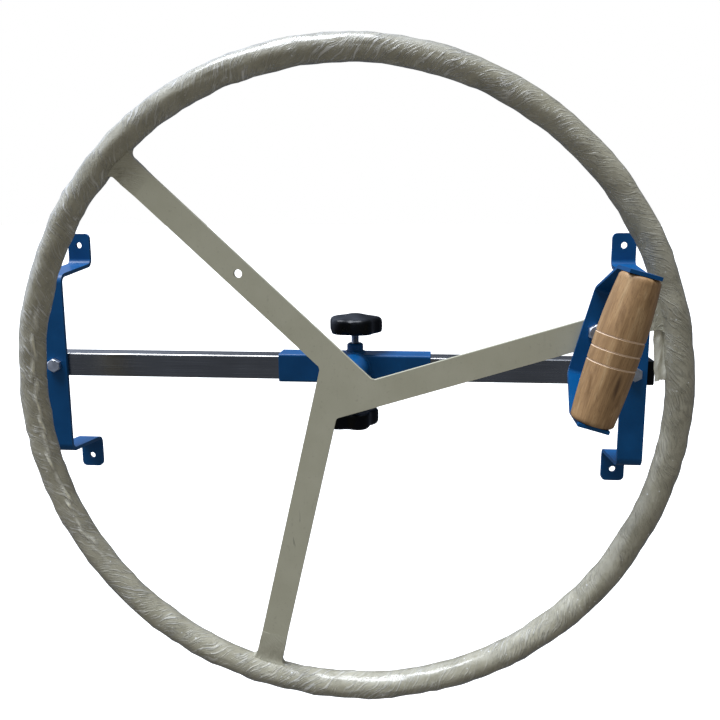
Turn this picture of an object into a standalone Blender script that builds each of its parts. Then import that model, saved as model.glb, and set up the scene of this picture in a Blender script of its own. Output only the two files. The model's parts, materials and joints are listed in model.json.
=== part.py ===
"""Wall-mounted shoulder exercise wheel.

Axes: X along the rail, Z up, wall at Y = 0 and the wheel out in front at -Y.
The wheel's axle lies on the line X = 0, Z = 0. Sizes are in metres.
"""

from math import asin, cos, pi, radians, sin, sqrt, tan

import bmesh
import bpy
from mathutils import Matrix, Vector

MM = 0.001

# fits
TOUCH = 0.3 * MM          # gap between pieces that rest on each other
SLIDE_FIT = 0.5 * MM      # rail inside the carriage, each side
HOLE_FIT = 0.2 * MM       # bolt in its hole, on the radius

# flat bars of the spokes, the handle and the wall brackets
BAR_W = 25 * MM
BAR_T = 5 * MM            # spokes
STRAP_T = 4 * MM          # wall brackets

# wheel
RIM_R = 300 * MM          # centreline of the bent tube
TUBE_R = 11 * MM
TUBE_WALL = 1.5 * MM
RIM_STEPS = 72            # straight pieces round the bent tube
RIM_SIDES = 14
FILM_T = 0.9 * MM
FILM_END = 2 * MM         # bare rim between the wrapping and a spoke
SPOKE_ANGLE = radians(17.1)
WHEEL_OUT = 169 * MM      # wall to the front face of the spokes
HANDLE_AT = 231 * MM      # handle bolt along its spoke
SPARE_HOLE_AT = 142 * MM
SPARE_HOLE_R = 4 * MM

# rail and its wall brackets
RAIL_W = 25 * MM
RAIL_WALL = 1.5 * MM
RAIL_END = 13.5 * MM      # rail past the middle of each bracket
RAIL_SHIFT = -20 * MM     # middle of the rail from the axle
BRACKET_SPAN = 604 * MM   # between the two brackets' middles
BRACKET_OUT = 78 * MM     # wall to the front of the web
WEB_HALF = 97 * MM
LEG_SPREAD = 7 * MM       # how far each leg leans out on its way to the wall
EAR_TIP = 137 * MM
EAR_HOLE_Z = 124 * MM
EAR_HOLE_R = 3.5 * MM
EAR_CORNER = 5.5 * MM
BEND_R = 8 * MM           # middle of the strap's thickness
PLUG_T = 7 * MM

# carriage
SLEEVE_WALL = 2 * MM
SLEEVE_LEN = 158 * MM
HOUSING_R = 17 * MM
HOUSING_WALL = 3 * MM
HOUSING_LEN = 66 * MM
BEARING_T = 8 * MM
SHAFT_R = 6 * MM
SPACER_R = 9 * MM
RING_T = 1.2 * MM
HUB_R = 17 * MM
HUB_T = 11 * MM

# clamping screws
BOSS_R = 8.5 * MM
BOSS_H = 10 * MM
STUD_R = 4 * MM
CLAMP_STEM = 11 * MM      # bare stud between boss and knob
BRAKE_STEM = 6 * MM
KNOB_R = 28.5 * MM
KNOB_H = 20 * MM
LOBES = 5
PAD_T = 3 * MM

# handle
HANDLE_T = 3 * MM
HANDLE_ANGLE = radians(74.65)
HANDLE_BASE = 77 * MM     # straight part on the spoke
HANDLE_SPREAD = 123.5 * MM  # between the middles of the two arms
HANDLE_SLOPE = 58 * MM    # how far out the sloping parts end
HANDLE_DEPTH = 100 * MM
HANDLE_BOLT_OFF = 1.5 * MM
GRIP_OUT = 86 * MM
GRIP_MID_R = 19.2 * MM
GRIP_TOP_R = 15.8 * MM
GRIP_LOW_R = 17.2 * MM
GRIP_RIM = 2 * MM
PIN_R = 4 * MM            # pin through the grip, peened flush with the arms
GROOVE_GAP = 11.3 * MM
GROOVE_W = 1.6 * MM
GROOVE_DEEP = 0.8 * MM

# M8 hardware
HEX_AF = 13 * MM
HEAD_H = 5.3 * MM
NUT_H = 6.5 * MM
BOLT_R = 4 * MM
WASHER_R = 8 * MM
WASHER_T = 1.6 * MM

RAIL_LEN = BRACKET_SPAN + 2 * RAIL_END
SPOKE_MID_Y = -WHEEL_OUT + BAR_T / 2
SPOKE_BACK_Y = -WHEEL_OUT + BAR_T
RAIL_Y = -BRACKET_OUT + STRAP_T + TOUCH + RAIL_W / 2
SLEEVE_W = RAIL_W + 2 * (SLIDE_FIT + SLEEVE_WALL)
SLEEVE_FRONT = RAIL_Y - SLEEVE_W / 2
HOUSING_BACK = SLEEVE_FRONT - TOUCH
HOUSING_FRONT = HOUSING_BACK - HOUSING_LEN
HOUSING_BORE = HOUSING_R - HOUSING_WALL
BRAKE_Y = (HOUSING_FRONT + HOUSING_BACK) / 2
CENTRE = Vector((0, 0, 0))

COLOURS = {
    "blue": ((0.006, 0.070, 0.200, 1), 0.45, 0.0),
    "film": ((0.30, 0.29, 0.25, 1), 0.30, 0.0),
    "grey": ((0.23, 0.23, 0.18, 1), 0.50, 0.0),
    "steel": ((0.45, 0.45, 0.43, 1), 0.30, 1.0),
    "zinc": ((0.55, 0.55, 0.53, 1), 0.38, 1.0),
    "black": ((0.010, 0.010, 0.011, 1), 0.35, 0.0),
    "wood": ((0.38, 0.22, 0.10, 1), 0.60, 0.0),
}


def clear_scene():
    for old in list(bpy.data.objects):
        bpy.data.objects.remove(old, do_unlink=True)


def material(node, finish):
    colour, rough, metal = COLOURS[finish]
    made = bpy.data.materials.new(node)
    made.use_nodes = True
    shader = made.node_tree.nodes["Principled BSDF"]
    shader.inputs["Base Color"].default_value = colour
    shader.inputs["Roughness"].default_value = rough
    shader.inputs["Metallic"].default_value = metal
    return made


def add(name, bm, finish, parent=None, pivot=None):
    """Turns a bmesh into a node whose origin sits at its pivot."""
    at = Vector(pivot) if pivot else CENTRE
    bmesh.ops.translate(bm, verts=bm.verts, vec=-at)
    bmesh.ops.recalc_face_normals(bm, faces=bm.faces)
    mesh = bpy.data.meshes.new(name)
    bm.to_mesh(mesh)
    bm.free()
    node = bpy.data.objects.new(name, mesh)
    bpy.context.scene.collection.objects.link(node)
    node.location = at
    if finish:
        mesh.materials.append(material(name, finish))
    if parent:
        node.parent = parent
        node.location = at - place_of(parent)
    return node


def place_of(node):
    """Where an unturned node sits, counted down its chain of parents."""
    here = Vector(node.location)
    return here + place_of(node.parent) if node.parent else here


def pivot_at(name, at, parent=None):
    empty = bpy.data.objects.new(name, None)
    bpy.context.scene.collection.objects.link(empty)
    empty.location = Vector(at)
    if parent:
        empty.parent = parent
        empty.location = Vector(at) - place_of(parent)
    return empty


def frame(at, along):
    """Matrix whose Z axis runs along a direction from a point."""
    z = Vector(along).normalized()
    side = Vector((1, 0, 0)) if abs(z.x) < 0.9 else Vector((0, 0, 1))
    y = z.cross(side).normalized()
    x = y.cross(z)
    turn = Matrix((x, y, z)).transposed().to_4x4()
    return Matrix.Translation(Vector(at)) @ turn


def loops_to_bmesh(loops, closed, caps):
    bm = bmesh.new()
    rings = [[bm.verts.new(p) for p in loop] for loop in loops]
    count = len(rings[0])
    last = len(rings) if closed else len(rings) - 1
    for i in range(last):
        a, b = rings[i], rings[(i + 1) % len(rings)]
        for j in range(count):
            k = (j + 1) % count
            bm.faces.new((a[j], a[k], b[k], b[j]))
    if caps:
        bm.faces.new(rings[0])
        bm.faces.new(list(reversed(rings[-1])))
    return bm


def prism(outline, place, length):
    """Extrudes a flat outline along the Z axis of a placing matrix."""
    low = [place @ Vector((x, y, 0)) for x, y in outline]
    high = [place @ Vector((x, y, length)) for x, y in outline]
    return loops_to_bmesh([low, high], False, True)


def lathe(profile, place, steps=32):
    """Solid turned from (radius, height) pairs, with flat ends."""
    loops = []
    angles = [2 * pi * i / steps for i in range(steps)]
    for radius, height in profile:
        loops.append([place @ Vector((radius * cos(a), radius * sin(a), height)) for a in angles])
    return loops_to_bmesh(loops, False, True)


def ring(inner, outer, length, place, steps=32, bevel=0.0):
    """Tube with bevelled outer edges, closed round its bore."""
    profile = [(inner, 0), (outer - bevel, 0), (outer, bevel)]
    profile += [(outer, length - bevel), (outer - bevel, length), (inner, length)]
    if not bevel:
        profile = [(inner, 0), (outer, 0), (outer, length), (inner, length)]
    angles = [2 * pi * i / steps for i in range(steps)]
    loops = []
    for a in angles:
        loops.append([place @ Vector((r * cos(a), r * sin(a), h)) for r, h in profile])
    return loops_to_bmesh(loops, True, False)


def rounded_rect(width, height, corner, steps=4):
    points = []
    for i, (sx, sy) in enumerate(((1, 1), (-1, 1), (-1, -1), (1, -1))):
        cx, cy = sx * (width / 2 - corner), sy * (height / 2 - corner)
        for k in range(steps + 1):
            a = pi / 2 * (i + k / steps)
            points.append((cx + corner * cos(a), cy + corner * sin(a)))
    return points


def square_tube(width, wall, corner, length, place):
    outer = rounded_rect(width, width, corner)
    inner = rounded_rect(width - 2 * wall, width - 2 * wall, max(corner - wall, 0.3 * MM))
    bm = bmesh.new()
    rings = []
    for outline, height in ((outer, 0), (outer, length), (inner, length), (inner, 0)):
        rings.append([bm.verts.new(place @ Vector((x, y, height))) for x, y in outline])
    count = len(outer)
    for i in range(4):
        a, b = rings[i], rings[(i + 1) % 4]
        for j in range(count):
            k = (j + 1) % count
            bm.faces.new((a[j], a[k], b[k], b[j]))
    return bm


def bend_path(points, radius, steps=5):
    """Rounds the corners of a path; returns points with their left normals."""
    path = []
    corners = [Vector(p) for p in points]
    for i, here in enumerate(corners):
        if i in (0, len(corners) - 1):
            other = corners[1] if i == 0 else corners[-2]
            run = (other - here) if i == 0 else (here - other)
            run.normalize()
            path.append((here, Vector((-run.y, run.x))))
            continue
        before = (here - corners[i - 1]).normalized()
        after = (corners[i + 1] - here).normalized()
        turn = before.angle_signed(after)
        reach = radius * tan(abs(turn) / 2)
        start = here - before * reach
        side = 1 if turn < 0 else -1
        left = Vector((-before.y, before.x))
        middle = start + left * radius * side
        for k in range(steps + 1):
            a = -turn * k / steps
            spun = Vector((left.x * cos(a) - left.y * sin(a), left.x * sin(a) + left.y * cos(a)))
            path.append((middle - spun * radius * side, spun))
    return path


def bent_bar(points, thickness, radius, width, place):
    """Flat bar bent along a path, its width along the Z axis of the placing matrix."""
    path = bend_path(points, radius)
    half = thickness / 2
    left = [p + n * half for p, n in path]
    right = [p - n * half for p, n in path]
    outline = [(p.x, p.y) for p in left + right[::-1]]
    low = [place @ Vector((x, y, -width / 2)) for x, y in outline]
    high = [place @ Vector((x, y, width / 2)) for x, y in outline]
    bm = bmesh.new()
    a = [bm.verts.new(p) for p in low]
    b = [bm.verts.new(p) for p in high]
    total, run = len(a), len(left)
    for j in range(total):
        k = (j + 1) % total
        bm.faces.new((a[j], a[k], b[k], b[j]))
    for side in (a, b):
        for j in range(run - 1):
            bm.faces.new((side[j], side[j + 1], side[total - 2 - j], side[total - 1 - j]))
    return bm


def rod(radius, length, at, along, steps=32, bevel=0.0):
    profile = [(radius, 0), (radius, length)]
    if bevel:
        profile = [(radius - bevel, 0), (radius, bevel)]
        profile += [(radius, length - bevel), (radius - bevel, length)]
    return lathe(profile, frame(at, along), steps)


def joined(first, *others):
    """Several closed shapes in one bmesh, for a cutter of separate holes."""
    mesh = bpy.data.meshes.new("scratch")
    for other in others:
        other.to_mesh(mesh)
        first.from_mesh(mesh)
        other.free()
    bpy.data.meshes.remove(mesh)
    return first


def boolean(target, bm, kind="DIFFERENCE"):
    cutter = add("cut_" + target.name, bm, None)
    cutter.hide_render = True
    cutter.display_type = "WIRE"
    step = target.modifiers.new("holes", "BOOLEAN")
    step.operation = kind
    step.solver = "EXACT"
    step.object = cutter
    return target


def hex_outline(across):
    reach = across / sqrt(3)
    return [(reach * cos(pi / 3 * i), reach * sin(pi / 3 * i)) for i in range(6)]


def hex_bolt(shank, at, along):
    """Hex head standing back from the seat point, shank running along the axis."""
    place = frame(at, along)
    corner = HEX_AF / sqrt(3)
    face = HEX_AF / 2 * 0.95
    loops = []
    steps = 24
    for radius, height, six in (
        (face, -HEAD_H, False),
        (corner, -HEAD_H + 0.8 * MM, True),
        (corner, 0, True),
        (BOLT_R, 0, False),
        (BOLT_R, shank - 0.8 * MM, False),
        (BOLT_R - 0.8 * MM, shank, False),
    ):
        loops.append([place @ p for p in around(radius, height, six, steps)])
    return loops_to_bmesh(loops, False, True)


def around(radius, height, six, steps):
    """Ring of points, on a circle or on the hexagon whose corners lie on it, two of them upright."""
    points = []
    for i in range(steps):
        a = 2 * pi * i / steps
        reach = radius
        if six:
            reach = radius * cos(pi / 6) / cos(((a + pi / 6) % (pi / 3)) - pi / 6)
        points.append(Vector((reach * cos(a), reach * sin(a), height)))
    return points


def hex_nut(at, along):
    place = frame(at, along)
    corner = HEX_AF / sqrt(3)
    bore = BOLT_R + HOLE_FIT
    steps = 24
    rings = []
    for radius, height, six in (
        (bore, 0, False),
        (corner - 0.5 * MM, 0, False),
        (corner, 0.6 * MM, True),
        (corner, NUT_H - 0.6 * MM, True),
        (corner - 0.5 * MM, NUT_H, False),
        (bore, NUT_H, False),
    ):
        shape = around(radius, height, six, steps)
        if not six and radius > bore:
            shape = around(HEX_AF / 2 * 0.97, height, False, steps)
        rings.append([place @ p for p in shape])
    turned = [[loop[i] for loop in rings] for i in range(steps)]
    return loops_to_bmesh(turned, True, False)


def washer(at, along, bore=BOLT_R + HOLE_FIT):
    return ring(bore, WASHER_R, WASHER_T, frame(at, along), 24)


# wall brackets and rail

def build_bracket(name, x):
    middle = -STRAP_T / 2
    web = -BRACKET_OUT + STRAP_T / 2
    side = WEB_HALF - STRAP_T / 2
    foot = side + LEG_SPREAD
    path = [(-EAR_TIP, middle), (-foot, middle), (-side, web)]
    path += [(side, web), (foot, middle), (EAR_TIP, middle)]
    place = Matrix(((0, 0, 1, x), (0, 1, 0, 0), (1, 0, 0, 0), (0, 0, 0, 1)))
    bar = add(name, bent_bar(path, STRAP_T, BEND_R, BAR_W, place), "blue")
    cuts = []
    for z in (EAR_HOLE_Z, -EAR_HOLE_Z):
        cuts.append(rod(EAR_HOLE_R, 3 * STRAP_T, (x, -2 * STRAP_T, z), (0, 1, 0)))
    web_front = (x, -BRACKET_OUT - STRAP_T, 0)
    cuts.append(rod(BOLT_R + HOLE_FIT, 3 * STRAP_T, web_front, (0, 1, 0)))
    cuts += ear_corner_cuts(x)
    return boolean(bar, joined(*cuts))


def ear_corner_cuts(x):
    """Slugs that round the four free corners of the two ears."""
    cuts = []
    for sx in (1, -1):
        for sz in (1, -1):
            cx = x + sx * (BAR_W / 2 - EAR_CORNER)
            cz = sz * (EAR_TIP - EAR_CORNER)
            far = EAR_CORNER + 1 * MM
            outline = [(cx + sx * far, cz), (cx + sx * far, cz + sz * far), (cx, cz + sz * far)]
            for k in range(7):
                a = pi / 2 * (1 - k / 6)
                outline.append((cx + sx * EAR_CORNER * cos(a), cz + sz * EAR_CORNER * sin(a)))
            place = Matrix(((1, 0, 0, 0), (0, 0, 1, -2 * STRAP_T), (0, 1, 0, 0), (0, 0, 0, 1)))
            cuts.append(prism(outline, place, 3 * STRAP_T))
    return cuts


def build_rail():
    start = RAIL_SHIFT - RAIL_LEN / 2
    place = frame((start, RAIL_Y, 0), (1, 0, 0))
    rail = add("rail_tube", square_tube(RAIL_W, RAIL_WALL, 2 * MM, RAIL_LEN, place), "steel")
    cuts = []
    for x in bracket_places():
        cuts.append(rod(BOLT_R + HOLE_FIT, 2 * RAIL_W, (x, RAIL_Y - RAIL_W, 0), (0, 1, 0)))
    boolean(rail, joined(*cuts))
    build_plug("rail_plug_left", start, -1)
    build_plug("rail_plug_right", start + RAIL_LEN, 1)


def bracket_places():
    return (RAIL_SHIFT - BRACKET_SPAN / 2, RAIL_SHIFT + BRACKET_SPAN / 2)


def build_plug(name, x, way):
    """End cap: a square flange with a shorter square stem inside the tube."""
    stem = RAIL_W - 2 * RAIL_WALL - 2 * TOUCH
    place = frame((x + way * (TOUCH + PLUG_T), RAIL_Y, 0), (-way, 0, 0))
    loops = []
    for size, height in (
        (RAIL_W - 2 * MM, 0),
        (RAIL_W, 1 * MM),
        (RAIL_W, PLUG_T),
        (stem, PLUG_T),
        (stem, PLUG_T + 7 * MM),
        (stem - 1 * MM, PLUG_T + 8 * MM),
    ):
        outline = rounded_rect(size, size, 1.5 * MM)
        loops.append([place @ Vector((a, b, height)) for a, b in outline])
    add(name, loops_to_bmesh(loops, False, True), "black")


def build_rail_fastening(side, x):
    head_seat = -BRACKET_OUT - TOUCH
    rail_back = RAIL_Y + RAIL_W / 2
    shank = rail_back - head_seat + 2 * TOUCH + WASHER_T + NUT_H + 3 * MM
    add("rail_bolt_" + side, hex_bolt(shank, (x, head_seat, 0), (0, 1, 0)), "zinc")
    add("rail_washer_" + side, washer((x, rail_back + TOUCH, 0), (0, 1, 0)), "zinc")
    seat = rail_back + 2 * TOUCH + WASHER_T
    add("rail_nut_" + side, hex_nut((x, seat, 0), (0, 1, 0)), "zinc")


# carriage

def build_sleeve(carriage):
    place = frame((-SLEEVE_LEN / 2, RAIL_Y, 0), (1, 0, 0))
    tube = square_tube(SLEEVE_W, SLEEVE_WALL, 2.5 * MM, SLEEVE_LEN, place)
    sleeve = add("slide_sleeve", tube, "blue", carriage)
    top = (0, RAIL_Y, SLEEVE_W / 2 - 2 * SLEEVE_WALL)
    boolean(sleeve, rod(STUD_R + SLIDE_FIT, 4 * SLEEVE_WALL, top, (0, 0, 1)))


def build_boss(name, foot, up, seat_r, parent):
    """Threaded boss with a spreading weld foot, drilled for the stud."""
    bore = STUD_R + SLIDE_FIT
    place = frame(foot, up)
    foot_r = BOSS_R + 1.2 * MM
    profile = [(bore, 0), ((bore + foot_r) / 2, 0), (foot_r, 0), (BOSS_R, 2 * MM)]
    profile += [(BOSS_R, BOSS_H - 1.5 * MM), (BOSS_R - 1.5 * MM, BOSS_H), (bore, BOSS_H)]
    angles = [2 * pi * i / 24 for i in range(24)]
    loops = []
    for a in angles:
        loop = []
        for r, h in profile:
            drop = seat_r - sqrt(seat_r ** 2 - (r * cos(a)) ** 2) if seat_r and h == 0 else 0
            loop.append(place @ Vector((r * cos(a), r * sin(a), h - drop)))
        loops.append(loop)
    return add(name, loops_to_bmesh(loops, True, False), "blue", parent)


def build_housing(carriage):
    place = frame((0, HOUSING_FRONT, 0), (0, 1, 0))
    tube = ring(HOUSING_BORE, HOUSING_R, HOUSING_LEN, place, 40, 0.8 * MM)
    housing = add("bearing_housing", tube, "blue", carriage)
    low = (0, BRAKE_Y, -HOUSING_R - HOUSING_WALL)
    boolean(housing, rod(STUD_R + SLIDE_FIT, 3 * HOUSING_WALL, low, (0, 0, 1)))


def build_bearing(name, y, carriage):
    """Shielded ball bearing as one ring with shallow steps for its races."""
    outer = HOUSING_BORE - TOUCH
    inner = SHAFT_R + TOUCH
    span = outer - inner
    deep = 0.4 * MM
    steps = ((inner, 0), (inner + span * 0.22, 0), (inner + span * 0.25, deep))
    steps += ((outer - span * 0.25, deep), (outer - span * 0.22, 0), (outer, 0))
    profile = list(steps) + [(r, BEARING_T - h) for r, h in reversed(steps)]
    place = frame((0, y, 0), (0, 1, 0))
    angles = [2 * pi * i / 24 for i in range(24)]
    loops = [[place @ Vector((r * cos(a), r * sin(a), h)) for r, h in profile] for a in angles]
    add(name, loops_to_bmesh(loops, True, False), "steel", carriage)


def snap_ring(name, inner, outer, y, opening, parent):
    """Split ring lying round the axle."""
    half = opening / 2
    steps = 28
    loops = []
    for i in range(steps + 1):
        a = pi / 2 + half + (2 * pi - opening) * i / steps
        corners = ((inner, 0), (outer, 0), (outer, RING_T), (inner, RING_T))
        loops.append([Vector((r * cos(a), y + h, r * sin(a))) for r, h in corners])
    add(name, loops_to_bmesh(loops, False, True), "steel", parent)


def bearing_places():
    """Front edge of each bearing along Y."""
    front = HOUSING_FRONT + 2 * MM + RING_T + TOUCH
    rear = HOUSING_BACK - 4 * MM - RING_T - TOUCH - BEARING_T
    return front, rear


def build_carriage():
    carriage = pivot_at("carriage", (0, RAIL_Y, 0))
    build_sleeve(carriage)
    build_housing(carriage)
    front, rear = bearing_places()
    build_bearing("bearing_front", front, carriage)
    build_bearing("bearing_rear", rear, carriage)
    ring_y = front - TOUCH - RING_T
    outer = HOUSING_BORE - TOUCH
    inner = outer - 0.4 * (HOUSING_BORE - SPACER_R)
    snap_ring("housing_snap_ring", inner, outer, ring_y, radians(40), carriage)
    foot = (0, RAIL_Y, SLEEVE_W / 2 + TOUCH)
    build_boss("clamp_boss", foot, (0, 0, 1), 0, carriage)
    foot = (0, BRAKE_Y, -HOUSING_R - TOUCH)
    build_boss("brake_boss", foot, (0, 0, -1), HOUSING_R, carriage)
    return carriage


# clamping screws

def star_knob(at, along):
    """Lobed hand knob, domed on top, standing on its point along the axis."""
    place = frame(at, along)
    profile = ((0.42, 0.0), (0.80, 0.0), (0.95, 0.06), (1.0, 0.20), (1.0, 0.52))
    profile += ((0.96, 0.70), (0.84, 0.82), (0.62, 0.92), (0.34, 0.985), (0.12, 1.0))
    steps = LOBES * 10
    loops = []
    for share, height in profile:
        loop = []
        for i in range(steps):
            a = 2 * pi * i / steps
            scallop = 0.15 * (0.5 - 0.5 * cos(LOBES * a)) ** 1.4 * max(0.0, (share - 0.4) / 0.6)
            r = KNOB_R * (share - scallop)
            loop.append(place @ Vector((r * cos(a), r * sin(a), KNOB_H * height)))
        loops.append(loop)
    return loops_to_bmesh(loops, False, True)


def knob_with_bore(name, at, along, parent):
    knob = add(name, star_knob(at, along), "black", parent, at)
    start = Vector(at) - Vector(along) * 2 * MM
    return boolean(knob, rod(STUD_R + TOUCH, KNOB_H * 0.6 + 2 * MM, start, along, 24))


def build_screw(kind, boss_foot, out, stem, tip, carriage):
    """Stud from its tip, through the boss and into the knob."""
    out = Vector(out)
    foot = Vector(boss_foot)
    seat = foot + out * (BOSS_H + stem)
    sliding = pivot_at(kind + "_travel", seat, carriage)
    end = seat + out * (KNOB_H * 0.6 - TOUCH)
    start = Vector(tip)
    stud = rod(STUD_R, (end - start).length, start, out, 24, 0.6 * MM)
    add(kind + "_stud", stud, "zinc", sliding, start)
    turning = pivot_at(kind + "_turn", seat, sliding)
    knob = knob_with_bore(kind + "_knob", seat, out, carriage)
    knob.parent = turning
    knob.location = (0, 0, 0)
    return sliding


def build_screws(carriage):
    foot = (0, RAIL_Y, SLEEVE_W / 2 + TOUCH)
    tip = (0, RAIL_Y, RAIL_W / 2 + TOUCH)
    build_screw("clamp", foot, (0, 0, 1), CLAMP_STEM, tip, carriage)
    foot = (0, BRAKE_Y, -HOUSING_R - TOUCH)
    tip = (0, BRAKE_Y, -SPACER_R - 2 * TOUCH - PAD_T)
    sliding = build_screw("brake", foot, (0, 0, -1), BRAKE_STEM, tip, carriage)
    pad_foot = (0, BRAKE_Y, -SPACER_R - TOUCH - PAD_T)
    pad = rod(STUD_R, PAD_T, pad_foot, (0, 0, 1), 24, 0.4 * MM)
    add("brake_pad", pad, "black", sliding, pad_foot)


# wheel

def spoke_frame(turns):
    """Placing matrix of a spoke: X outward along it, Y across, Z to the wall."""
    a = SPOKE_ANGLE + turns * 2 * pi / 3
    out = Vector((cos(a), 0, sin(a)))
    across = Vector((-sin(a), 0, cos(a)))
    depth = Vector((0, -1, 0))
    turn = Matrix((out, across, depth)).transposed().to_4x4()
    return Matrix.Translation(Vector((0, SPOKE_BACK_Y, 0))) @ turn


def build_spoke(name, turns, holes, wheel):
    """Flat bar whose inner end is mitred against the side of the next bar."""
    end = (RIM_R - TUBE_R) * cos(pi / RIM_STEPS) - TOUCH
    outline = [(TOUCH * 2, 0)]
    for k in range(9):
        y = -BAR_W * k / 8
        outline.append((sqrt(end ** 2 - y ** 2), y))
    outline.append((2 * TOUCH - BAR_W / sqrt(3), -BAR_W))
    place = spoke_frame(turns)
    spoke = add(name, prism(outline, place, BAR_T), "grey", wheel)
    cuts = []
    for along, radius in holes:
        start = place @ Vector((along, -BAR_W / 2, -BAR_T))
        cuts.append(rod(radius, 3 * BAR_T, start, (0, -1, 0), 24))
    if cuts:
        boolean(spoke, joined(*cuts))


def torus_point(angle, around_angle, radius):
    reach = RIM_R + radius * cos(around_angle)
    y = SPOKE_MID_Y + radius * sin(around_angle)
    return Vector((reach * cos(angle), y, reach * sin(angle)))


def bent_pipe(angles, outer, inner):
    """Open-ended round pipe following the rim's centreline."""
    loops = []
    for radius, order in ((outer, 1), (inner, -1)):
        rows = []
        for a in angles:
            rows.append([torus_point(a, 2 * pi * j / RIM_SIDES, radius) for j in range(RIM_SIDES)])
        loops += rows[::order]
    return loops_to_bmesh(loops, True, False)


def build_rim(wheel):
    """One length of tube bent round until its two ends meet at a butt seam."""
    seam = TOUCH / RIM_R
    start = SPOKE_ANGLE + 4 * pi / 3
    angles = [start + seam / 2 + (2 * pi - seam) * i / RIM_STEPS for i in range(RIM_STEPS + 1)]
    add("rim_tube", bent_pipe(angles, TUBE_R, TUBE_R - TUBE_WALL), "grey", wheel)


def build_film(name, turns, wheel):
    """Open-ended sleeve of wrapping round the rim between two spokes."""
    margin = FILM_END / RIM_R
    inner_r = RIM_R - TUBE_R - FILM_T - 2 * TOUCH
    start = SPOKE_ANGLE + turns * 2 * pi / 3 + margin
    span = 2 * pi / 3 - asin(BAR_W / inner_r) - 2 * margin
    count = RIM_STEPS // 3 - 2
    angles = [start + span * i / count for i in range(count + 1)]
    flat = RIM_R * (1 - cos(pi / RIM_STEPS))
    inner = TUBE_R + TOUCH + flat
    add(name, bent_pipe(angles, inner + FILM_T, inner), "film", wheel)


def build_axle(wheel):
    front, rear = bearing_places()
    hub_back = SPOKE_BACK_Y + TOUCH + HUB_T
    hub = rod(HUB_R, HUB_T, (0, SPOKE_BACK_Y + TOUCH, 0), (0, 1, 0), 48, 0.8 * MM)
    add("hub_disc", hub, "grey", wheel)
    shaft_back = rear + BEARING_T + TOUCH + RING_T + 2 * MM
    start = hub_back + TOUCH
    shaft = rod(SHAFT_R, shaft_back - start, (0, start, 0), (0, 1, 0), 32, 0.8 * MM)
    add("axle_shaft", shaft, "steel", wheel)
    collar = ring(SHAFT_R + TOUCH, SPACER_R, front - TOUCH - start, frame((0, start, 0), (0, 1, 0)))
    add("axle_collar", collar, "steel", wheel)
    start = front + BEARING_T + TOUCH
    spacer = ring(SHAFT_R + TOUCH, SPACER_R, rear - TOUCH - start, frame((0, start, 0), (0, 1, 0)))
    add("axle_spacer", spacer, "steel", wheel)
    ring_y = rear + BEARING_T + TOUCH
    snap_ring("axle_snap_ring", SHAFT_R + TOUCH, SHAFT_R + 2.4 * MM, ring_y, radians(60), wheel)


# handle

def handle_frame():
    """X along the grip, Y out from the spoke's front, Z across the bar; origin at its base."""
    bolt = spoke_frame(0) @ Vector((HANDLE_AT, -BAR_W / 2, BAR_T + TOUCH))
    along = Vector((cos(HANDLE_ANGLE), 0, sin(HANDLE_ANGLE)))
    out = Vector((0, -1, 0))
    across = along.cross(out)
    turn = Matrix((along, out, across)).transposed().to_4x4()
    return Matrix.Translation(bolt - along * HANDLE_BOLT_OFF) @ turn


def build_handle_bracket(wheel):
    place = handle_frame()
    arm = HANDLE_SPREAD / 2
    flat = HANDLE_BASE / 2
    mid = HANDLE_T / 2
    path = [(-arm, HANDLE_DEPTH), (-arm, HANDLE_SLOPE), (-flat, mid)]
    path += [(flat, mid), (arm, HANDLE_SLOPE), (arm, HANDLE_DEPTH)]
    bar = bent_bar(path, HANDLE_T, 5 * MM, BAR_W, place)
    bracket = add("handle_bracket", bar, "blue", wheel)
    along = place.to_3x3() @ Vector((1, 0, 0))
    cuts = []
    for way in (1, -1):
        start = place @ Vector((way * (arm - 2 * HANDLE_T), GRIP_OUT, 0))
        cuts.append(rod(PIN_R + HOLE_FIT, 4 * HANDLE_T, start, along * way, 24))
    start = place @ Vector((HANDLE_BOLT_OFF, 3 * HANDLE_T, 0))
    cuts.append(rod(BOLT_R + HOLE_FIT, 4 * HANDLE_T, start, (0, 1, 0), 24))
    boolean(bracket, joined(*cuts))


def grip_half():
    return HANDLE_SPREAD / 2 - HANDLE_T / 2 - TOUCH


def grip_radius(x):
    share = abs(x) / grip_half()
    end = GRIP_TOP_R if x > 0 else GRIP_LOW_R
    return GRIP_MID_R - (GRIP_MID_R - end) * share ** 2.2


def grip_stations():
    """Positions along the grip, with the three turned grooves picked out."""
    half = grip_half()
    marks = {-half, half}
    marks.update(half * k / 9 for k in range(-8, 9))
    for k in (-1, 0, 1):
        middle = k * GROOVE_GAP
        marks = {m for m in marks if abs(m - middle) > GROOVE_W}
        marks.update((middle - GROOVE_W / 2, middle - 0.1 * MM, middle + 0.1 * MM, middle + GROOVE_W / 2))
    return sorted(marks)


def grip_profile():
    """Half section from one end's bore to the other's, both rims rounded off."""
    half = grip_half()
    bore = PIN_R + TOUCH
    profile = [(bore, -half), (GRIP_LOW_R - GRIP_RIM, -half), (GRIP_LOW_R, -half + GRIP_RIM)]
    for x in grip_stations()[1:-1]:
        bottom = any(abs(x - k * GROOVE_GAP) < 0.2 * MM for k in (-1, 0, 1))
        profile.append((grip_radius(x) - (GROOVE_DEEP if bottom else 0), x))
    profile += [(GRIP_TOP_R, half - GRIP_RIM), (GRIP_TOP_R - GRIP_RIM, half), (bore, half)]
    return profile


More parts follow.
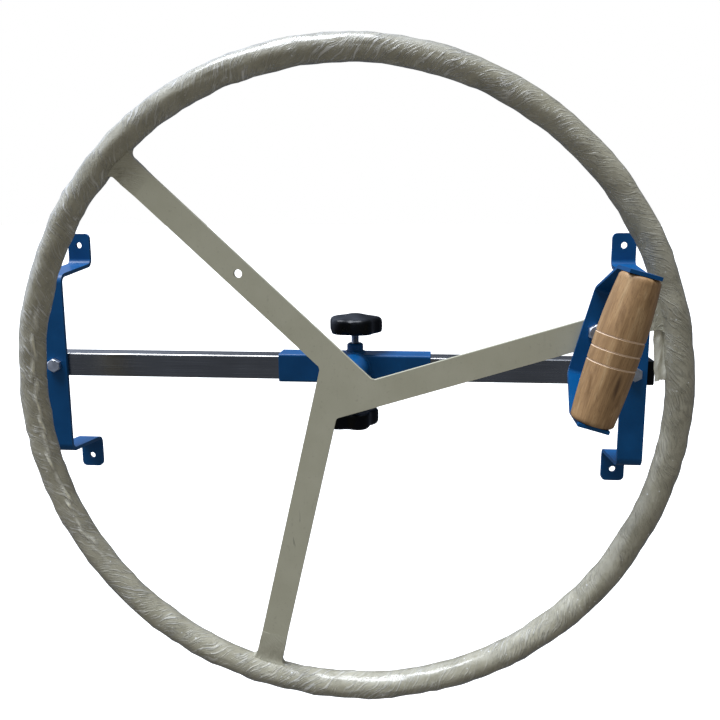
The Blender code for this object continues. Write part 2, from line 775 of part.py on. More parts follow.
def build_grip(wheel):
    place = handle_frame()
    centre = place @ Vector((0, GRIP_OUT, 0))
    along = place.to_3x3() @ Vector((1, 0, 0))
    turn = frame(centre, along)
    spin = pivot_at("grip_turn", centre, wheel)
    profile = grip_profile()
    angles = [2 * pi * i / 28 for i in range(28)]
    loops = [[turn @ Vector((r * cos(a), r * sin(a), h)) for r, h in profile] for a in angles]
    add("grip", loops_to_bmesh(loops, True, False), "wood", spin, centre)


def build_handle_fastening(wheel):
    place = handle_frame()
    along = place.to_3x3() @ Vector((1, 0, 0))
    outer = HANDLE_SPREAD / 2 + HANDLE_T / 2
    foot = place @ Vector((-outer, GRIP_OUT, 0))
    add("grip_pin", rod(PIN_R, 2 * outer, foot, along, 24, 0.5 * MM), "zinc", wheel)
    seat = place @ Vector((HANDLE_BOLT_OFF, HANDLE_T + TOUCH, 0))
    clamped = HANDLE_T + BAR_T + 4 * TOUCH + WASHER_T
    shank = clamped + NUT_H + 2 * MM
    add("handle_bolt", hex_bolt(shank, seat, (0, 1, 0)), "zinc", wheel)
    behind = Vector((seat.x, SPOKE_BACK_Y + TOUCH, seat.z))
    add("handle_washer", washer(behind, (0, 1, 0)), "zinc", wheel)
    behind = behind + Vector((0, WASHER_T + TOUCH, 0))
    add("handle_nut", hex_nut(behind, (0, 1, 0)), "zinc", wheel)


def build_wheel(carriage):
    wheel = pivot_at("wheel", (0, SPOKE_MID_Y, 0), carriage)
    spare = ((SPARE_HOLE_AT, SPARE_HOLE_R),)
    handle_hole = ((HANDLE_AT, BOLT_R + HOLE_FIT),)
    build_spoke("spoke_handle", 0, handle_hole, wheel)
    build_spoke("spoke_upper", 1, spare, wheel)
    build_spoke("spoke_lower", 2, (), wheel)
    build_rim(wheel)
    for turns, name in enumerate(("rim_film_top", "rim_film_left", "rim_film_bottom")):
        build_film(name, turns, wheel)
    build_axle(wheel)
    build_handle_bracket(wheel)
    build_grip(wheel)
    build_handle_fastening(wheel)


def build():
    clear_scene()
    for side, x in zip(("left", "right"), bracket_places()):
        build_bracket("bracket_" + side, x)
        build_rail_fastening(side, x)
    build_rail()
    carriage = build_carriage()
    build_screws(carriage)
    build_wheel(carriage)


build()
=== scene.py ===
import json
from math import atan2, cos, degrees, hypot, pi, radians, sin, sqrt

import bpy
from mathutils import Matrix, Vector, noise

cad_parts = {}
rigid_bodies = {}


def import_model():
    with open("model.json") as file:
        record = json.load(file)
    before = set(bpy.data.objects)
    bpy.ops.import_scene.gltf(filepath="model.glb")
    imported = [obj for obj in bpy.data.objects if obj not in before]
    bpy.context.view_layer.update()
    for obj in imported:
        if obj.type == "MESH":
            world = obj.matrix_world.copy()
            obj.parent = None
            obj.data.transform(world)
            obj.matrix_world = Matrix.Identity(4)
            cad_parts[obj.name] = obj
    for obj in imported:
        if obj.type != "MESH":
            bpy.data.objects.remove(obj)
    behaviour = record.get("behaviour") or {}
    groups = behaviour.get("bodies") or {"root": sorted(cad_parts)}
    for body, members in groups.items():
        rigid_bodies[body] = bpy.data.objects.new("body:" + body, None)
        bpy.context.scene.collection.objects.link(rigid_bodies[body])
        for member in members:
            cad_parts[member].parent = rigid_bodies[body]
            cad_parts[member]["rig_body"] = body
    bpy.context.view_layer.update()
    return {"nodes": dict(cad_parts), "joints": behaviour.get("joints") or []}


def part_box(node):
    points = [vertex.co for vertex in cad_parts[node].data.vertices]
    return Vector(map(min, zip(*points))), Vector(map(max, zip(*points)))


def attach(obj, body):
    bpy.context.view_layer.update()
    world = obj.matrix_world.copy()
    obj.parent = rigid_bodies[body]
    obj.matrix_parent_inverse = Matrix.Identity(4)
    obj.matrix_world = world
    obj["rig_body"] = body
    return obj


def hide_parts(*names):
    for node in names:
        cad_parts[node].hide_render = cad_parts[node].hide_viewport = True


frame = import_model()
mm = 0.001


def middleOf(node):
    low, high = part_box(node)
    return (low + high) / 2


# where the frame puts things, in mm from the wall
wheelY = middleOf("spoke_handle").y / mm
railY = middleOf("rail_tube").y / mm
brakeY = middleOf("brake_stud").y / mm
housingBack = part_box("bearing_housing")[1].y / mm
print("stage: frame loaded,", len(frame["nodes"]), "nodes")


# small helpers

def linear(hexCode):
    # sRGB hex to the linear values that colour sockets take
    parts = [int(hexCode[i:i + 2], 16) / 255 for i in (1, 3, 5)]
    return tuple(c / 12.92 if c <= 0.04045 else ((c + 0.055) / 1.055) ** 2.4 for c in parts) + (1.0,)


def addNode(tree, kind, sockets=None, ramp=None, **settings):
    # one shader node with its settings; a socket given a value is set, one given an output is wired
    node = tree.nodes.new("ShaderNode" + kind)
    for name, value in settings.items():
        setattr(node, name, value)
    if ramp:
        steps = node.color_ramp.elements
        while len(steps) < len(ramp):
            steps.new(0.5)
        for step, (at, colour) in zip(steps, ramp):
            step.position = at
            step.color = linear(colour)
    for key, value in (sockets or {}).items():
        if isinstance(value, bpy.types.NodeSocket):
            tree.links.new(value, node.inputs[key])
        else:
            node.inputs[key].default_value = value
    return node


def startMaterial(name, **sockets):
    made = bpy.data.materials.new(name)
    made.use_nodes = True
    tree = made.node_tree
    shader = tree.nodes["Principled BSDF"]
    for key, value in sockets.items():
        shader.inputs[key.replace("_", " ")].default_value = value
    where = addNode(tree, "TexCoord")
    return made, tree, shader, where.outputs["Object"]


def wire(tree, shader, **ends):
    # joins a finish's outputs to the shader's sockets of the same name
    for key, end in ends.items():
        tree.links.new(end, shader.inputs[key.replace("_", " ")])


def clearPick():
    if bpy.context.object and bpy.context.object.mode != "OBJECT":
        bpy.ops.object.mode_set(mode="OBJECT")
    bpy.ops.object.select_all(action="DESELECT")


def only(piece):
    # the piece is the one thing selected, and the active one
    clearPick()
    piece.select_set(True)
    bpy.context.view_layer.objects.active = piece


def useModifier(piece, kind, **settings):
    only(piece)
    made = piece.modifiers.new(kind.lower(), kind)
    for name, value in settings.items():
        setattr(made, name, value)
    bpy.ops.object.modifier_apply(modifier=made.name)


def roundEdges(piece, width, segments=3, above=32):
    useModifier(piece, "BEVEL", width=width * mm, segments=segments, limit_method="ANGLE",
                angle_limit=radians(above), use_clamp_overlap=True)


def smooth(piece, above=38):
    only(piece)
    bpy.ops.object.shade_smooth_by_angle(angle=radians(above))


def keepFlat(piece):
    # broad faces shade flat right up to their rounded edges
    useModifier(piece, "WEIGHTED_NORMAL", mode="FACE_AREA", weight=50, keep_sharp=True)


def faceOut(piece):
    only(piece)
    bpy.ops.object.mode_set(mode="EDIT")
    bpy.ops.mesh.select_all(action="SELECT")
    bpy.ops.mesh.normals_make_consistent(inside=False)
    bpy.ops.object.mode_set(mode="OBJECT")


def pickFaces(piece, test):
    only(piece)
    bpy.ops.object.mode_set(mode="EDIT")
    bpy.ops.mesh.select_mode(type="FACE")
    bpy.ops.mesh.select_all(action="DESELECT")
    bpy.ops.object.mode_set(mode="OBJECT")
    for face in piece.data.polygons:
        face.select = test(face)
    bpy.ops.object.mode_set(mode="EDIT")


def stand(piece, at, along):
    # turns a piece built up Z to run along a direction, and bakes its place into the mesh
    turn = Vector(along).to_track_quat("Z", "Y").to_matrix().to_4x4()
    piece.matrix_world = Matrix.Translation(Vector(at)) @ turn
    only(piece)
    bpy.ops.object.transform_apply(location=True, rotation=True, scale=True)


def reshape(piece, rule):
    for corner in piece.data.vertices:
        corner.co = rule(corner.co)
    piece.data.update()


def place(piece, body, slotName, finish, *nodes):
    piece.data.materials.clear()
    piece.data.materials.append(finish)
    if nodes:
        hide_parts(*nodes)
    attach(piece, body)


def turned(name, rings, steps=64):
    # a disc drawn up Z through rings of (radius, height) in mm, like work on a lathe
    clearPick()
    radius, height = rings[0]
    bpy.ops.mesh.primitive_circle_add(vertices=steps, radius=radius * mm, fill_type="NGON")
    piece = bpy.context.object
    piece.name = name
    bpy.ops.object.mode_set(mode="EDIT")
    bpy.ops.mesh.select_mode(type="FACE")
    bpy.ops.mesh.select_all(action="SELECT")
    bpy.ops.transform.translate(value=(0, 0, height * mm))
    for nextRadius, nextHeight in rings[1:]:
        bpy.ops.mesh.extrude_region_move(
            TRANSFORM_OT_translate={"value": (0, 0, (nextHeight - height) * mm)})
        share = nextRadius / radius
        bpy.ops.transform.resize(value=(share, share, 1), center_override=(0, 0, nextHeight * mm))
        radius, height = nextRadius, nextHeight
    bpy.ops.mesh.select_all(action="SELECT")
    bpy.ops.mesh.normals_make_consistent(inside=False)
    bpy.ops.object.mode_set(mode="OBJECT")
    return piece


def softCopy(node, finish, slotName, edge=0.4, segments=3, above=32):
    # the CAD piece with its corners broken as the real edges are
    source = frame["nodes"][node]
    piece = bpy.data.objects.new(node + "_made", source.data.copy())
    bpy.context.scene.collection.objects.link(piece)
    only(piece)
    bpy.ops.object.mode_set(mode="EDIT")
    bpy.ops.mesh.select_all(action="SELECT")
    bpy.ops.mesh.remove_doubles(threshold=0.00001)
    bpy.ops.mesh.dissolve_limited(angle_limit=radians(1))
    bpy.ops.object.mode_set(mode="OBJECT")
    if edge:
        roundEdges(piece, edge, segments, above)
    smooth(piece)
    keepFlat(piece)
    place(piece, source["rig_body"], slotName, finish, node)


# camera, light and floor

viewSettings = {"place": (0.08860, -0.87735, 0.16339), "turn": (79.786, 0.260, 5.766),
                "lens": 39.70, "sensor": 36, "shiftX": -0.0006, "shiftY": -0.0112}
sunSettings = {"power": 4.6, "turn": (6, -18, 0), "size": 36, "colour": "#f1f6ff"}
roomSettings = {"light": 0.26, "colour": "#fffaf0", "backdrop": "#ffffff",
                "lampSide": (-0.60, 0.04, 0.80), "lampEdge": 0.30, "lampMiddle": 0.80,
                "lampGlow": 1.5, "wallGlow": 0.15, "lampColour": "#d2e0ff"}
floorSettings = {"height": -0.46, "size": 60, "colour": "#f4f4f2", "pale": "#ffffff", "lift": 0.35}


def makeCamera(s):
    data = bpy.data.cameras.new("viewCamera")
    data.lens, data.sensor_width = s["lens"], s["sensor"]
    data.shift_x, data.shift_y = s["shiftX"], s["shiftY"]
    data.clip_start, data.clip_end = 0.02, 100
    camera = bpy.data.objects.new("viewCamera", data)
    camera.location = s["place"]
    camera.rotation_euler = [radians(a) for a in s["turn"]]
    bpy.context.scene.collection.objects.link(camera)
    bpy.context.scene.camera = camera


def makeSun(s):
    data = bpy.data.lights.new("ceilingLight", "SUN")
    data.energy, data.angle = s["power"], radians(s["size"])
    data.color = linear(s["colour"])[:3]
    sun = bpy.data.objects.new("ceilingLight", data)
    sun.rotation_euler = [radians(a) for a in s["turn"]]
    bpy.context.scene.collection.objects.link(sun)


def makeRoom(s):
    world = bpy.data.worlds.new("room")
    bpy.context.scene.world = world
    world.use_nodes = True
    tree = world.node_tree
    # polished parts mirror a dark room with one bright side of its ceiling
    ray = addNode(tree, "LightPath")
    way = addNode(tree, "TexCoord")
    lamp = addNode(tree, "VectorMath", {0: way.outputs["Generated"],
                                        1: Vector(s["lampSide"]).normalized()}, operation="DOT_PRODUCT")
    glow = addNode(tree, "MapRange", {0: lamp.outputs["Value"], 1: s["lampEdge"],
                                      2: s["lampMiddle"], 3: s["wallGlow"],
                                      4: s["lampGlow"]}, interpolation_type="SMOOTHSTEP")
    power = addNode(tree, "Mix", {0: ray.outputs["Is Glossy Ray"], 2: s["light"], 3: glow.outputs[0]})
    # the eye sees a white backdrop, and the object is lit by a dimmer room
    seen = addNode(tree, "Background", {"Color": linear(s["backdrop"]), "Strength": 1.0})
    lit = tree.nodes["Background"]
    tint = addNode(tree, "Mix", {0: ray.outputs["Is Glossy Ray"], 6: linear(s["colour"]),
                                 7: linear(s["lampColour"])}, data_type="RGBA")
    wire(tree, lit, Color=tint.outputs[2], Strength=power.outputs[0])
    both = addNode(tree, "MixShader", {0: ray.outputs["Is Camera Ray"],
                                       1: lit.outputs[0], 2: seen.outputs[0]})
    wire(tree, tree.nodes["World Output"], Surface=both.outputs[0])


def makeFloor(s):
    clearPick()
    bpy.ops.mesh.primitive_plane_add(size=s["size"], location=(0, 0, s["height"]))
    ground = bpy.context.object
    ground.name = "ground"
    ground.visible_diffuse = False    # a pale floor, without its glare on the undersides
    ground.visible_glossy = False
    paint, tree, shader, where = startMaterial("pale floor", Roughness=0.9)
    soft = addNode(tree, "TexNoise", {"Vector": where, "Scale": 3.0, "Detail": 2.0})
    tone = addNode(tree, "Mix", {0: soft.outputs["Fac"], 6: linear(s["colour"]),
                                 7: linear(s["pale"])}, data_type="RGBA")
    wire(tree, shader, Base_Color=tone.outputs[2])
    shader.inputs["Emission Color"].default_value = linear(s["pale"])
    shader.inputs["Emission Strength"].default_value = s["lift"]
    ground.data.materials.append(paint)


makeCamera(viewSettings)
makeSun(sunSettings)
makeRoom(roomSettings)
makeFloor(floorSettings)
bpy.context.scene.view_settings.view_transform = "Standard"
print("stage: camera and studio")


# finishes

def powderCoat():
    # powder-coated steel, baked on: an even satin blue with orange peel and a little dust
    made, tree, shader, where = startMaterial("powder coated steel", IOR=1.36, Coat_Weight=0.08,
                                              Coat_Roughness=0.15)
    cloud = addNode(tree, "TexNoise", {"Vector": where, "Scale": 28.0, "Detail": 4.0})
    body = addNode(tree, "ValToRGB", {0: cloud.outputs["Fac"]},
                   ramp=[(0.30, "#004a82"), (0.55, "#00528e"), (0.75, "#025b9c")])
    # nibs about 6 mm apart, seen where dust has settled
    nibs = addNode(tree, "TexVoronoi", {"Vector": where, "Scale": 160.0, "Randomness": 1.0})
    nibMask = addNode(tree, "MapRange", {0: nibs.outputs["Distance"], 1: 0.05, 2: 0.10,
                                         3: 0.35, 4: 0.0})
    dust = addNode(tree, "TexNoise", {"Vector": where, "Scale": 70.0, "Detail": 6.0, "Roughness": 0.7})
    dustMask = addNode(tree, "MapRange", {0: dust.outputs["Fac"], 1: 0.60, 2: 0.75, 3: 0.0, 4: 0.35})
    both = addNode(tree, "Math", {0: nibMask.outputs[0], 1: dustMask.outputs[0]},
                   operation="MULTIPLY", use_clamp=True)
    colour = addNode(tree, "Mix", {0: both.outputs[0], 6: body.outputs[0],
                                   7: linear("#5b8fc4")}, data_type="RGBA")
    # orange peel is 1 to 2 mm across
    peel = addNode(tree, "TexNoise", {"Vector": where, "Scale": 620.0, "Detail": 1.5})
    gloss = addNode(tree, "MapRange", {0: cloud.outputs["Fac"], 1: 0.3, 2: 0.7, 3: 0.34, 4: 0.48})
    bump = addNode(tree, "Bump", {"Height": peel.outputs["Fac"], "Strength": 0.35, "Distance": 0.00012})
    wire(tree, shader, Base_Color=colour.outputs[2], Roughness=gloss.outputs[0], Normal=bump.outputs[0])
    return made


def airDryEnamel():
    # grey-green enamel sprayed on flat bar: a soft flat sheen, faint mottling and handling scuffs
    made, tree, shader, where = startMaterial("sprayed enamel", IOR=1.5)
    cloud = addNode(tree, "TexNoise", {"Vector": where, "Scale": 22.0, "Detail": 5.0, "Roughness": 0.6})
    body = addNode(tree, "ValToRGB", {0: cloud.outputs["Fac"]},
                   ramp=[(0.25, "#c2c2ad"), (0.5, "#c8c8b4"), (0.78, "#cfcfbc")])
    # rolling marks under the paint, about 3 mm wide
    speck = addNode(tree, "TexNoise", {"Vector": where, "Scale": 330.0, "Detail": 3.0})
    speckMask = addNode(tree, "MapRange", {0: speck.outputs["Fac"], 1: 0.62, 2: 0.72, 3: 0.0, 4: 0.30})
    mixed = addNode(tree, "Mix", {0: speckMask.outputs[0], 6: body.outputs[0],
                                  7: linear("#a3a18f")}, data_type="RGBA")
    # scuffs lie across the lower spoke near its middle
    turn = addNode(tree, "Mapping", {"Vector": where, "Rotation": (0, radians(-62), 0),
                                     "Scale": (260, 260, 34)})
    scratch = addNode(tree, "TexNoise", {"Vector": turn.outputs[0], "Scale": 1.0, "Detail": 3.0})
    line = addNode(tree, "MapRange", {0: scratch.outputs["Fac"], 1: 0.63, 2: 0.70, 3: 0.0, 4: 0.75})
    spot = addNode(tree, "VectorMath", {0: where, 1: (-0.047, (wheelY - 2.5) * mm, -0.146)},
                   operation="DISTANCE")
    near = addNode(tree, "MapRange", {0: spot.outputs["Value"], 1: 0.012, 2: 0.045, 3: 1.0, 4: 0.06})
    scuff = addNode(tree, "Math", {0: line.outputs[0], 1: near.outputs[0]},
                    operation="MULTIPLY", use_clamp=True)
    colour = addNode(tree, "Mix", {0: scuff.outputs[0], 6: mixed.outputs[2],
                                   7: linear("#6a685c")}, data_type="RGBA")
    gloss = addNode(tree, "MapRange", {0: cloud.outputs["Fac"], 1: 0.3, 2: 0.7, 3: 0.40, 4: 0.55})
    # a spray texture of about 1 mm
    grit = addNode(tree, "TexNoise", {"Vector": where, "Scale": 900.0, "Detail": 2.0})
    bump = addNode(tree, "Bump", {"Height": grit.outputs["Fac"], "Strength": 0.25, "Distance": 0.0001})
    wire(tree, shader, Base_Color=colour.outputs[2], Roughness=gloss.outputs[0], Normal=bump.outputs[0])
    return made


def stretchFilm():
    # clear polyethylene stretch film over grey enamel: glossy, drawn into fine slanting pleats whose white
    # streaks are partly the film's milky whitening where it gathers and partly painted highlight; the
    # streaks follow the film as it was wound
    made, tree, shader, where = startMaterial("polyethylene stretch film", IOR=1.51, Coat_Weight=0.6,
                                              Coat_Roughness=0.14)
    wound = addNode(tree, "UVMap", uv_map="wound")
    cloud = addNode(tree, "TexNoise", {"Vector": where, "Scale": 45.0, "Detail": 5.0,
                                       "Roughness": 0.65})
    under = addNode(tree, "ValToRGB", {0: cloud.outputs["Fac"]},
                    ramp=[(0.28, "#a09d8a"), (0.5, "#b3b09d"), (0.75, "#c2c0af")])
    # pleats 2 mm wide and 20 mm long, and drawn threads half that width
    turned = addNode(tree, "Mapping", {"Vector": wound.outputs[0], "Rotation": (0, 0, radians(-43))})
    bend = addNode(tree, "TexNoise", {"Vector": turned.outputs[0], "Scale": 0.02})
    swayed = addNode(tree, "VectorMath", {0: bend.outputs["Color"], 1: (0.0, 30.0, 0.0),
                                          2: turned.outputs[0]}, operation="MULTIPLY_ADD")
    streaks = []
    for spread, low, high in (((0.050, 0.44, 1), 0.54, 0.64), ((0.080, 1.0, 1), 0.56, 0.66)):
        drawn = addNode(tree, "Mapping", {"Vector": swayed.outputs[0], "Scale": spread})
        grain = addNode(tree, "TexNoise", {"Vector": drawn.outputs[0], "Scale": 1.0,
                                           "Detail": 2.0, "Roughness": 0.5})
        streaks.append(addNode(tree, "MapRange", {0: grain.outputs["Fac"], 1: low, 2: high,
                                                  3: 0.0, 4: 1.0}))
    both = addNode(tree, "Math", {0: streaks[0].outputs[0], 1: streaks[1].outputs[0]},
                   operation="MAXIMUM")
    patch = addNode(tree, "TexNoise", {"Vector": wound.outputs[0], "Scale": 0.035, "Detail": 2.0})
    patchMask = addNode(tree, "MapRange", {0: patch.outputs["Fac"], 1: 0.38, 2: 0.62, 3: 0.25, 4: 1.0})
    lines = addNode(tree, "Math", {0: both.outputs[0], 1: patchMask.outputs[0]}, operation="MULTIPLY")
    # how white each streak is: partly the film's milky whitening and partly painted highlight
    pleatWhiteAndHighlight = addNode(tree, "Attribute", attribute_name="pleat_white_and_highlight")
    streakWhiteAndHighlight = addNode(tree, "Math", {0: lines.outputs[0], 1: pleatWhiteAndHighlight.outputs["Fac"]},
                         operation="MULTIPLY")
    # painted glints about 10 mm apart, and the rolled-up edge, whitened partly as its own milky film and
    # partly as painted highlight
    fleck = addNode(tree, "TexVoronoi", {"Vector": where, "Scale": 95.0})
    paintedGlintMask = addNode(tree, "MapRange", {0: fleck.outputs["Distance"], 1: 0.06, 2: 0.10,
                                           3: 0.8, 4: 0.0})
    rope = addNode(tree, "Attribute", attribute_name="rope")
    paintedGlintsAndRope = addNode(tree, "Math", {0: paintedGlintMask.outputs[0], 1: rope.outputs["Fac"]},
                    operation="MAXIMUM")
    white = addNode(tree, "Math", {0: streakWhiteAndHighlight.outputs[0], 1: 0.85,
                                   2: paintedGlintsAndRope.outputs[0]}, operation="MULTIPLY_ADD", use_clamp=True)
    # where the film ends on a spoke it lies tight, and the spoke's own paint shows
    bare = addNode(tree, "Attribute", attribute_name="bare")
    painted = addNode(tree, "Mix", {0: bare.outputs["Fac"], 6: under.outputs[0],
                                    7: linear("#c8c8b4")}, data_type="RGBA")
    # the streaks' white, creamier on the rolled-up edge, is partly the film's own and partly a painted
    # highlight colour
    whiteAndHighlightColour = addNode(tree, "Mix", {0: rope.outputs["Fac"], 6: linear("#f1f3f2"),
                                        7: linear("#fffce4")}, data_type="RGBA")
    colour = addNode(tree, "Mix", {0: white.outputs[0], 6: painted.outputs[2],
                                   7: whiteAndHighlightColour.outputs[2]}, data_type="RGBA")
    gloss = addNode(tree, "MapRange", {0: cloud.outputs["Fac"], 1: 0.3, 2: 0.7, 3: 0.20, 4: 0.38})
    dulled = addNode(tree, "Math", {0: lines.outputs[0], 1: 0.22, 2: gloss.outputs[0]},
                     operation="MULTIPLY_ADD")
    # crinkles of about 2 mm between the pleats
    crinkle = addNode(tree, "TexNoise", {"Vector": where, "Scale": 520.0, "Detail": 3.0,
                                         "Roughness": 0.6, "Distortion": 0.6})
    height = addNode(tree, "Math", {0: crinkle.outputs["Fac"], 1: 0.35, 2: lines.outputs[0]},
                     operation="MULTIPLY_ADD")
    covered = addNode(tree, "Math", {0: 1.0, 1: bare.outputs["Fac"]}, operation="SUBTRACT")
    roped = addNode(tree, "Math", {0: rope.outputs["Fac"], 1: 2.2, 2: height.outputs[0]},
                    operation="MULTIPLY_ADD")
    drawnHeight = addNode(tree, "Math", {0: roped.outputs[0], 1: covered.outputs[0]},
                          operation="MULTIPLY")
    bump = addNode(tree, "Bump", {"Height": drawnHeight.outputs[0], "Strength": 0.9,
                                  "Distance": 0.0009})
    wire(tree, shader, Base_Color=colour.outputs[2], Roughness=dulled.outputs[0], Normal=bump.outputs[0])
    return made


def brushedStainless():
    # stainless square tube, brushed along its length: fine lines, smeared reflections
    made, tree, shader, where = startMaterial("brushed stainless steel", Metallic=1.0, Anisotropic=0.5)
    # brush lines are far finer than this; 0.5 mm is as fine as shows
    lines = addNode(tree, "Mapping", {"Vector": where, "Scale": (14, 1900, 1900)})
    brush = addNode(tree, "TexNoise", {"Vector": lines.outputs[0], "Scale": 1.0, "Detail": 3.0})
    cloud = addNode(tree, "TexNoise", {"Vector": where, "Scale": 18.0, "Detail": 3.0})
    tone = addNode(tree, "Mix", {0: 0.35, 2: brush.outputs["Fac"], 3: cloud.outputs["Fac"]})
    body = addNode(tree, "ValToRGB", {0: tone.outputs[0]},
                   ramp=[(0.30, "#8d8a83"), (0.5, "#a4a19a"), (0.70, "#bdbab4")])
    gloss = addNode(tree, "MapRange", {0: brush.outputs["Fac"], 1: 0.3, 2: 0.7, 3: 0.17, 4: 0.28})
    bump = addNode(tree, "Bump", {"Height": brush.outputs["Fac"], "Strength": 0.2, "Distance": 0.00005})
    wire(tree, shader, Base_Color=body.outputs[0], Roughness=gloss.outputs[0], Normal=bump.outputs[0])
    return made


def zincPlate():
    # bright zinc on pressed steel: pale grey, slightly milky, with a hint of blue passivation
    made, tree, shader, where = startMaterial("zinc plated steel", Metallic=1.0)
    cloud = addNode(tree, "TexNoise", {"Vector": where, "Scale": 160.0, "Detail": 4.0})
    body = addNode(tree, "ValToRGB", {0: cloud.outputs["Fac"]},
                   ramp=[(0.3, "#cdcfcf"), (0.55, "#dadcdd"), (0.8, "#e6e8ea")])
    gloss = addNode(tree, "MapRange", {0: cloud.outputs["Fac"], 1: 0.3, 2: 0.7, 3: 0.38, 4: 0.52})
    grain = addNode(tree, "TexNoise", {"Vector": where, "Scale": 1400.0, "Detail": 2.0})
    bump = addNode(tree, "Bump", {"Height": grain.outputs["Fac"], "Strength": 0.2, "Distance": 0.00005})
    wire(tree, shader, Base_Color=body.outputs[0], Roughness=gloss.outputs[0], Normal=bump.outputs[0])
    return made


def bearingSteel():
    # ground bearing and shaft steel: dark, polished, with a thin film of oil
    made, tree, shader, where = startMaterial("ground bearing steel", Metallic=1.0, Coat_Weight=0.2)
    lines = addNode(tree, "Mapping", {"Vector": where, "Scale": (300, 2400, 300)})
    ground = addNode(tree, "TexNoise", {"Vector": lines.outputs[0], "Scale": 1.0, "Detail": 2.0})
    body = addNode(tree, "ValToRGB", {0: ground.outputs["Fac"]},
                   ramp=[(0.35, "#8b8c8e"), (0.65, "#a5a6a8")])
    gloss = addNode(tree, "MapRange", {0: ground.outputs["Fac"], 1: 0.3, 2: 0.7, 3: 0.16, 4: 0.28})
    bump = addNode(tree, "Bump", {"Height": ground.outputs["Fac"], "Strength": 0.1,
                                  "Distance": 0.00003})
    wire(tree, shader, Base_Color=body.outputs[0], Roughness=gloss.outputs[0], Normal=bump.outputs[0])
    return made


def mouldedPhenolic():
    # moulded black phenolic: deep, glossy, with faint flow marks and dust in the hollows
    made, tree, shader, where = startMaterial("moulded black phenolic", IOR=1.28, Coat_Weight=0.03,
                                              Coat_Roughness=0.1)
    cloud = addNode(tree, "TexNoise", {"Vector": where, "Scale": 90.0, "Detail": 4.0})
    body = addNode(tree, "ValToRGB", {0: cloud.outputs["Fac"]},
                   ramp=[(0.3, "#070809"), (0.6, "#0b0c0d"), (0.85, "#121314")])
    gloss = addNode(tree, "MapRange", {0: cloud.outputs["Fac"], 1: 0.3, 2: 0.7, 3: 0.26, 4: 0.38})
    grain = addNode(tree, "TexNoise", {"Vector": where, "Scale": 1100.0, "Detail": 2.0})
    bump = addNode(tree, "Bump", {"Height": grain.outputs["Fac"], "Strength": 0.12,
                                  "Distance": 0.00006})
    wire(tree, shader, Base_Color=body.outputs[0], Roughness=gloss.outputs[0], Normal=bump.outputs[0])
    return made


def turnedNylon():
    # cut nylon rod: dark, waxy and matt, with a grain of about 1 mm
    made, tree, shader, where = startMaterial("turned nylon", IOR=1.53, Roughness=0.55)
    grain = addNode(tree, "TexNoise", {"Vector": where, "Scale": 800.0, "Detail": 3.0})
    body = addNode(tree, "ValToRGB", {0: grain.outputs["Fac"]},
                   ramp=[(0.3, "#2a2a2b"), (0.7, "#3b3b3c")])
    bump = addNode(tree, "Bump", {"Height": grain.outputs["Fac"], "Strength": 0.2, "Distance": 0.0001})
    wire(tree, shader, Base_Color=body.outputs[0], Normal=bump.outputs[0])
    return made


gripJoint = next(joint for joint in frame["joints"] if joint["name"] == "grip_spin")
gripAxis = Vector(gripJoint["axis"]).normalized()
gripCentre = Vector(gripJoint["pos_m"])
gripLean = atan2(gripAxis.x, gripAxis.z)


